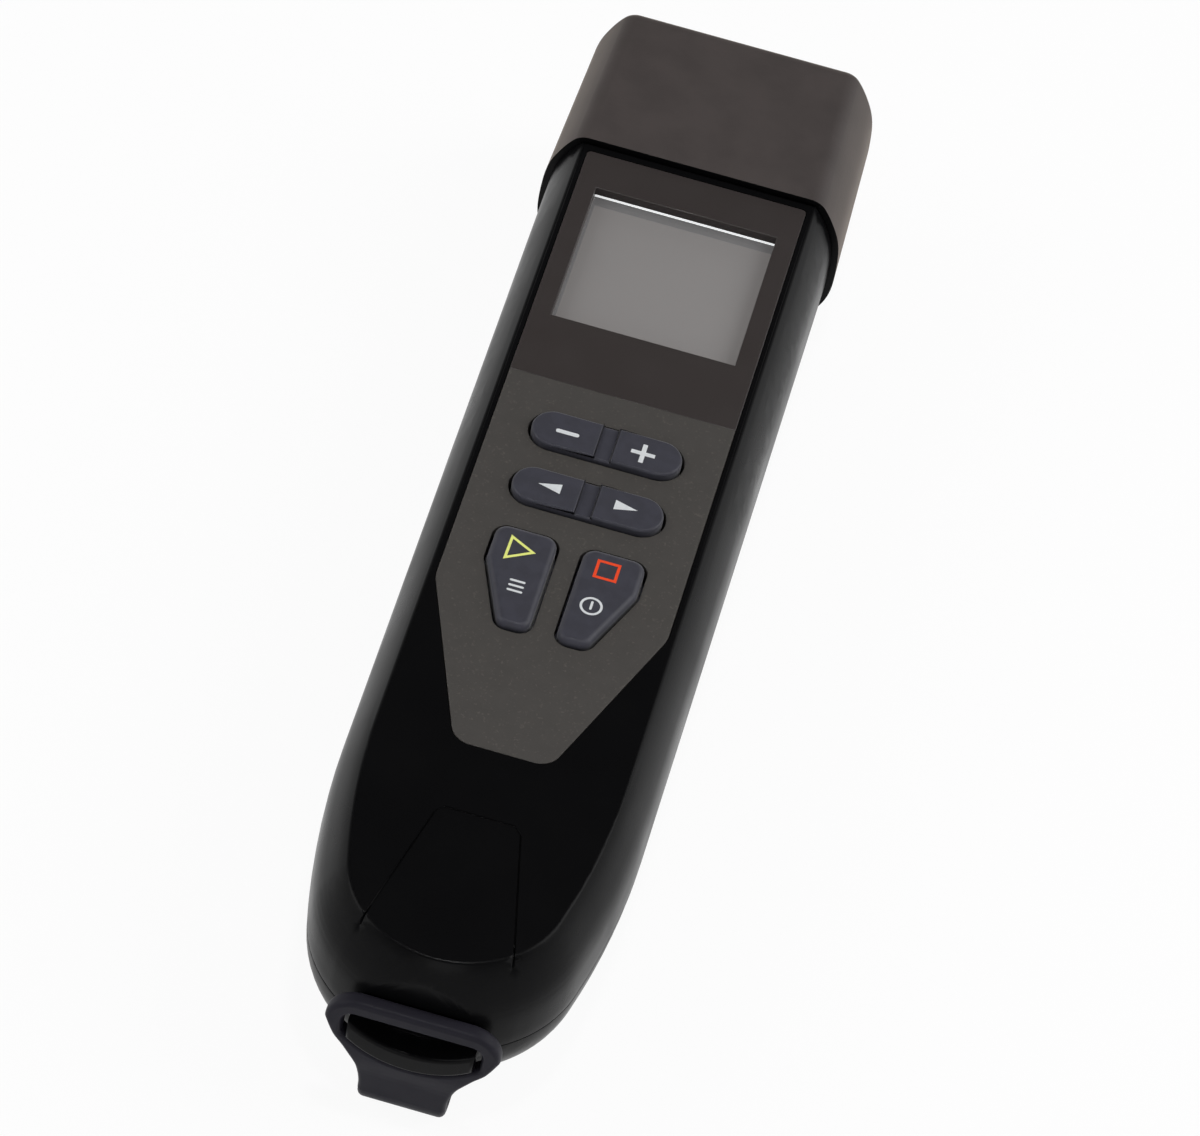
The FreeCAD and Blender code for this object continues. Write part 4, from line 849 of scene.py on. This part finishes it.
class ANALYZER_OT_legends(PieceOperator, bpy.types.Operator):
    """Adds the printed signs on the keys"""
    bl_idname = "analyzer.legends"
    bl_label = "Legends"
    low = KEY_TOP_Z - INK_ROOM / 2
    high = KEY_TOP_Z + INK_ROOM / 2
    # Places of the signs as drawn, their half sizes and the widths of their lines, in mm
    minus_spot = (-6.9, 9.95)
    minus_half = (2.05, 0.4)
    plus_spot = (6.4, 10.05)
    plus_thin = 0.4
    plus_wide = 2.1
    arrow_places = ((-1, -6.8), (1, 6.6))
    arrow_y = -2.7
    arrow_half = (2.0, 1.08)
    play_corners = ((-10.15, -15.3), (-10.25, -20.9), (-5.3, -17.9))
    play_line = 0.48
    menu_spot = (-6.65, -25.9)
    menu_half = (1.35, 0.22)
    menu_pitch = 1.1
    stop_spot = (6.95, -17.4)
    stop_half = 2.05
    stop_line = 0.52
    power_spot = (6.3, -25.7)
    power_radius = 1.95
    power_line = 0.42
    power_bar_y = -25.55
    power_bar_half = (0.21, 0.95)

    def execute(self, context):
        settings = context.scene.analyzer_keys
        white = legend_ink("white_ink", settings.white_ink)
        play = legend_ink("play_ink", settings.play_ink)
        stop = legend_ink("stop_ink", settings.stop_ink)
        self.add_minus_plus(white)
        self.add_arrows(white)
        self.add_outline_sign("print_play", self.play_corners, self.play_line, play,
                              "key_play_menu")
        self.add_menu(white)
        x, y = self.stop_spot
        square = [(x + sx * self.stop_half, y + sy * self.stop_half)
                  for sx, sy in ((-1, -1), (1, -1), (1, 1), (-1, 1))]
        self.add_outline_sign("print_stop", square, self.stop_line, stop, "key_stop_power")
        self.add_power(white)
        return {"FINISHED"}

    def add_bar(self, bm, x, y, half_x, half_y):
        """Bar with round ends."""
        corners = [(x - half_x, y - half_y), (x + half_x, y - half_y), (x + half_x, y + half_y),
                   (x - half_x, y + half_y)]
        verts = start_prism(bm, corners, self.low, self.high)
        bm.normal_update()
        round_corners(bm, upright_edges(verts), min(half_x, half_y) * 0.95, 4)

    def add_minus_plus(self, ink):
        bm = bmesh.new()
        self.add_bar(bm, *self.minus_spot, *self.minus_half)
        thin, wide = self.plus_thin, self.plus_wide
        steps = [(wide, -thin), (wide, thin), (thin, thin), (thin, wide), (-thin, wide),
                 (-thin, thin), (-wide, thin), (-wide, -thin), (-thin, -thin), (-thin, -wide),
                 (thin, -wide), (thin, -thin)]
        across, along = self.plus_spot
        start_prism(bm, [(across + x, along + y) for x, y in steps], self.low, self.high)
        move_along(bm)
        finish_piece("print_minus_plus", bm, ink, "key_minus_plus")

    def add_arrows(self, ink):
        bm = bmesh.new()
        length, height = self.arrow_half
        for side, x in self.arrow_places:
            corners = [(x - side * length, self.arrow_y - height),
                       (x + side * length, self.arrow_y),
                       (x - side * length, self.arrow_y + height)]
            start_prism(bm, corners, self.low, self.high)
        move_along(bm)
        finish_piece("print_left_right", bm, ink, "key_left_right")

    def add_menu(self, ink):
        bm = bmesh.new()
        x, y = self.menu_spot
        for step in (-1, 0, 1):
            self.add_bar(bm, x, y + step * self.menu_pitch, *self.menu_half)
        move_along(bm)
        finish_piece("print_menu", bm, ink, "key_play_menu")

    def add_outline_sign(self, name, corners, thickness, ink, body):
        bm = bmesh.new()
        face = bm.faces.new([bm.verts.new((x * MM, y * MM, self.low * MM)) for x, y in corners])
        bm.normal_update()
        self.cut_to_line(bm, face, thickness)
        move_along(bm)
        finish_piece(name, bm, ink, body)

    def cut_to_line(self, bm, face, thickness):
        """Leaves a line round the face's edge and gives it its thickness."""
        bmesh.ops.inset_region(bm, faces=[face], thickness=thickness * MM, use_even_offset=True,
                               use_boundary=True)
        bmesh.ops.delete(bm, geom=[face], context="FACES_ONLY")
        if not bm.faces:
            raise RuntimeError("the sign has no outline")
        extruded(bm, bm.faces[:], (0, 0, (self.high - self.low) * MM))

    def add_power(self, ink):
        bm = bmesh.new()
        x, y = self.power_spot
        place = Matrix.Translation((x * MM, y * MM, self.low * MM))
        bmesh.ops.create_circle(bm, cap_ends=True, segments=40, radius=self.power_radius * MM,
                                matrix=place)
        self.cut_to_line(bm, bm.faces[:][0], self.power_line)
        self.add_bar(bm, x, self.power_bar_y, *self.power_bar_half)
        move_along(bm)
        finish_piece("print_power", bm, ink, "key_stop_power")


class ANALYZER_OT_cap(PieceOperator, bpy.types.Operator):
    """Adds the rubber cap over the connector end"""
    bl_idname = "analyzer.cap"
    bl_label = "Cap"
    edge_depth = 0.4

    def execute(self, context):
        settings = context.scene.analyzer_rubber
        bm = merged_copy("protective_cap")
        piece = finish_piece("dressed_protective_cap", bm, cap_silicone(settings), "cap",
                             ("protective_cap",), fix_normals=False)
        self.blacken_lower_edge(piece)
        even_shading(piece)
        return {"FINISHED"}

    def blacken_lower_edge(self, piece):
        """The step at the cap's lower edge is black like the shells."""
        piece.data.materials.append(bpy.data.materials["spark_eroded_abs"])
        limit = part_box("protective_cap")[0].y + self.edge_depth * MM
        faces = [f for f in piece.data.polygons if f.center.y < limit and f.normal.y < -0.9]
        if not faces:
            raise RuntimeError("the cap's lower edge was not found")
        for face in faces:
            face.material_index = 1


class ANALYZER_OT_strap(PieceOperator, bpy.types.Operator):
    """Adds the strap: back run, bend, neck and ring, which bends at the lower end"""
    bl_idname = "analyzer.strap"
    bl_label = "Strap"
    half_width = (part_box("strap_back")[1].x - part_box("strap_back")[0].x) / 2 / MM
    thickness = 2.4
    plane_y = (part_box("strap_ring")[0].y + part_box("strap_ring")[1].y) / 2 / MM
    bend_radius = 3.2
    bend_y = plane_y + bend_radius
    # The run ends at the middle of the anchor's bead; the bead itself isn't drawn
    bead_radius = 2.6
    run_end_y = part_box("strap_back")[1].y / MM - bead_radius
    ring_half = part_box("strap_ring")[1].x / MM
    ring_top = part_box("strap_ring")[1].z / MM
    ring_thickness = 3.1
    ring_corner = 5.5
    hole_half = 11.5
    hole_top = 23.6
    hole_bottom = 13.4
    hole_corner = 2.0
    hole_sweep = 15.5
    cutter_reach = 5
    # The neck grows from the strap's thickness to the ring's from this height on
    swell_start = 9.0
    swell_height = 5.0
    # Half width and height of the neck's edge
    neck_edge = ((7.5, 6.5), (8.0, 8.9), (8.9, 11.3), (11.0, 14.7), (13.0, 17.4), (14.6, 21.2))

    def execute(self, context):
        settings = context.scene.analyzer_rubber
        segments = context.scene.analyzer_stage.smoothness
        material = strap_rubber(settings)
        bm = bmesh.new()
        self.add_run(bm, settings.strap_edge)
        self.add_ring(bm, settings.strap_edge, segments)
        strap = finish_piece("rubber_strap", bm, material, None,
                             ("strap_back", "strap_ring"))
        even_shading(strap)
        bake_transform(strap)
        return {"FINISHED"}

    def add_run(self, bm, edge):
        """Flat run along the back, then the bend at the lower end."""
        half = self.half_width
        corners = [(-half, 0.0), (half, 0.0), (half, self.thickness), (-half, self.thickness)]
        verts = [bm.verts.new((x * MM, self.run_end_y * MM, z * MM)) for x, z in corners]
        face = bm.faces.new(verts)
        bmesh.ops.bevel(bm, geom=verts, offset=edge * MM, offset_type="OFFSET", segments=4,
                        profile=0.5, affect="VERTICES", material=-1)
        face = bm.faces[:][0] if not face.is_valid else face
        length = self.run_end_y - self.bend_y
        steps = 12
        for _ in range(steps):
            face = extruded(bm, [face], (0, -length / steps * MM, 0))[0][0]
        centre = (0, self.bend_y * MM, (self.thickness / 2 + self.bend_radius) * MM)
        geom = [face] + list(face.edges) + list(face.verts)
        bmesh.ops.spin(bm, geom=geom, cent=centre, axis=(1, 0, 0), angle=-math.pi / 2, steps=12,
                       use_duplicate=False, use_merge=False)

    def flat_outline(self, bm, corners, front, back):
        """Solid over an outline in x and z, between two places along y."""
        verts = [bm.verts.new((x * MM, front * MM, z * MM)) for x, z in corners]
        face = bm.faces.new(verts)
        extruded(bm, [face], (0, (back - front) * MM, 0))

    def add_ring(self, bm, edge, segments):
        """Neck that widens into the ring, with its hole."""
        mid = self.plane_y
        half_y = self.thickness / 2
        base_z = self.thickness / 2 + self.bend_radius
        corner = self.ring_corner
        right = smooth_path(((self.half_width, base_z),) + self.neck_edge, 4)[:-1]
        right += arc_path((self.ring_half - corner, self.ring_top - corner), corner, 0, 90,
                          segments * 2)
        left = [(-x, z) for x, z in reversed(right)]
        body = bmesh.new()
        self.flat_outline(body, right + left, mid - half_y, mid + half_y)
        body_mesh = self.to_object("strap_body_blank", body)
        hole = bmesh.new()
        turn, sweep = self.hole_corner, self.hole_sweep
        reach = math.degrees(math.asin(self.hole_half / sweep))
        hole_right = arc_path((0, self.hole_bottom + sweep), sweep, -90, -90 + reach,
                              segments * 3)
        hole_right += arc_path((self.hole_half - turn, self.hole_top - turn), turn, 0, 90,
                               segments)
        corners = hole_right + [(-x, z) for x, z in reversed(hole_right[1:])]
        self.flat_outline(hole, corners, mid - self.cutter_reach, mid + self.cutter_reach)
        hole_mesh = self.to_object("strap_hole_blank", hole)
        cutter = body_mesh.modifiers.new("hole", "BOOLEAN")
        cutter.operation = "DIFFERENCE"
        cutter.object = hole_mesh
        cutter.solver = "EXACT"
        shaped = bpy.data.meshes.new_from_object(
            body_mesh.evaluated_get(bpy.context.evaluated_depsgraph_get()))
        ring = bmesh.new()
        ring.from_mesh(shaped)
        for blank in (body_mesh, hole_mesh):
            bpy.data.objects.remove(blank)
        bmesh.ops.remove_doubles(ring, verts=ring.verts, dist=2e-6)
        ring.normal_update()
        flat = {f for f in ring.faces if abs(f.normal.y) > 0.99}
        rims = [e for e in ring.edges if len([f for f in e.link_faces if f in flat]) == 1
                and not all(abs(v.co.z - base_z * MM) < 1e-6 for v in e.verts)]
        soften(ring, rims, edge, 4)
        for step in range(int(self.swell_height) + 1):
            z = self.swell_start + step
            bmesh.ops.bisect_plane(ring, geom=ring.verts[:] + ring.edges[:] + ring.faces[:],
                                   dist=1e-7, plane_co=(0, 0, z * MM), plane_no=(0, 0, 1))
        growth = self.ring_thickness / self.thickness - 1.0
        for vert in ring.verts:
            share = min(1.0, max(0.0, (vert.co.z / MM - self.swell_start) / self.swell_height))
            swell = 1.0 + growth * share * share * (3 - 2 * share)
            vert.co.y = mid * MM + (vert.co.y - mid * MM) * swell
        joined = bpy.data.meshes.new("strap_ring_shape")
        ring.to_mesh(joined)
        ring.free()
        bm.from_mesh(joined)

    def to_object(self, name, bm):
        bmesh.ops.recalc_face_normals(bm, faces=bm.faces)
        return place_mesh(name, bm)


class ANALYZER_OT_inner_parts(PieceOperator, bpy.types.Operator):
    """Gives the parts inside the housing and the connector their materials"""
    bl_idname = "analyzer.inner_parts"
    bl_label = "Inner parts"

    def execute(self, context):
        paint_nodes(plain_plastic("fibreglass_board", "174a2c", 0.35), "main_board")
        paint_nodes(worked_metal("tinned_steel", "b9b8b4", 0.3), "rf_shield", "key_switches",
                    "rf_board_lead", "usb_port", "lcd_frame")
        paint_nodes(plain_plastic("keypad_mat_silicone", "3c3c3f", 0.6), "keypad_mat")
        paint_nodes(worked_metal("zinc_plated_steel", "a9abae", 0.35), "board_screws",
                    "rf_flange_screws", "strap_anchor_pin")
        paint_nodes(worked_metal("black_oxide_steel", "2b2b2d", 0.45), "case_screws")
        paint_nodes(worked_metal("turned_brass", "c49a4a", 0.3), "thread_inserts")
        paint_nodes(plain_plastic("shrink_sleeve", "1d4f86", 0.35, 1.2, 0.01), "battery_cell")
        paint_nodes(plain_plastic("holder_nylon", "202022", 0.55), "battery_holder", "buzzer")
        paint_nodes(worked_metal("nickel_plated_strip", "c9c5bb", 0.25), "battery_contacts")
        paint_nodes(worked_metal("nickel_plated_brass", "c8c5bd", 0.22), "rf_connector_body")
        paint_nodes(plain_plastic("turned_fluoropolymer", "e6e5e0", 0.4), "rf_insulator")
        paint_nodes(worked_metal("gold_plated_brass", "dcb25c", 0.2), "rf_centre_contact")
        paint_nodes(plain_plastic("gasket_nitrile", "161617", 0.6), "shell_gasket")
        paint_nodes(plain_plastic("light_pipe_acrylic", "cfd6cf", 0.2), "charge_light_pipe")
        return {"FINISHED"}


OPERATORS = (ANALYZER_OT_stage, ANALYZER_OT_shells, ANALYZER_OT_front_panels, ANALYZER_OT_display,
             ANALYZER_OT_rocker_keys, ANALYZER_OT_push_keys, ANALYZER_OT_legends,
             ANALYZER_OT_cap, ANALYZER_OT_strap, ANALYZER_OT_inner_parts)


class ANALYZER_PT_panel(bpy.types.Panel):
    """Lists the pieces of the antenna analyzer"""
    bl_idname = "ANALYZER_PT_panel"
    bl_label = "Antenna analyzer"
    bl_space_type = "VIEW_3D"
    bl_region_type = "UI"
    bl_category = "Analyzer"

    def draw(self, context):
        for operator in OPERATORS:
            self.layout.operator(operator.bl_idname)
        for group in SETTING_GROUPS:
            settings = getattr(context.scene, group)
            box = self.layout.box()
            for name in settings.__annotations__:
                box.prop(settings, name)


def register():
    for group in SETTING_GROUPS.values():
        bpy.utils.register_class(group)
    for name, group in SETTING_GROUPS.items():
        setattr(bpy.types.Scene, name, PointerProperty(type=group))
    for operator in OPERATORS:
        bpy.utils.register_class(operator)
    bpy.utils.register_class(ANALYZER_PT_panel)


def unregister():
    bpy.utils.unregister_class(ANALYZER_PT_panel)
    for operator in reversed(OPERATORS):
        bpy.utils.unregister_class(operator)
    for name in SETTING_GROUPS:
        delattr(bpy.types.Scene, name)
    for group in SETTING_GROUPS.values():
        bpy.utils.unregister_class(group)


def run(operator):
    """Runs one operator by its name."""
    group, name = operator.bl_idname.split(".")
    getattr(getattr(bpy.ops, group), name)()


def main():
    register()
    for operator in OPERATORS:
        run(operator)


if __name__ == "__main__":
    main()
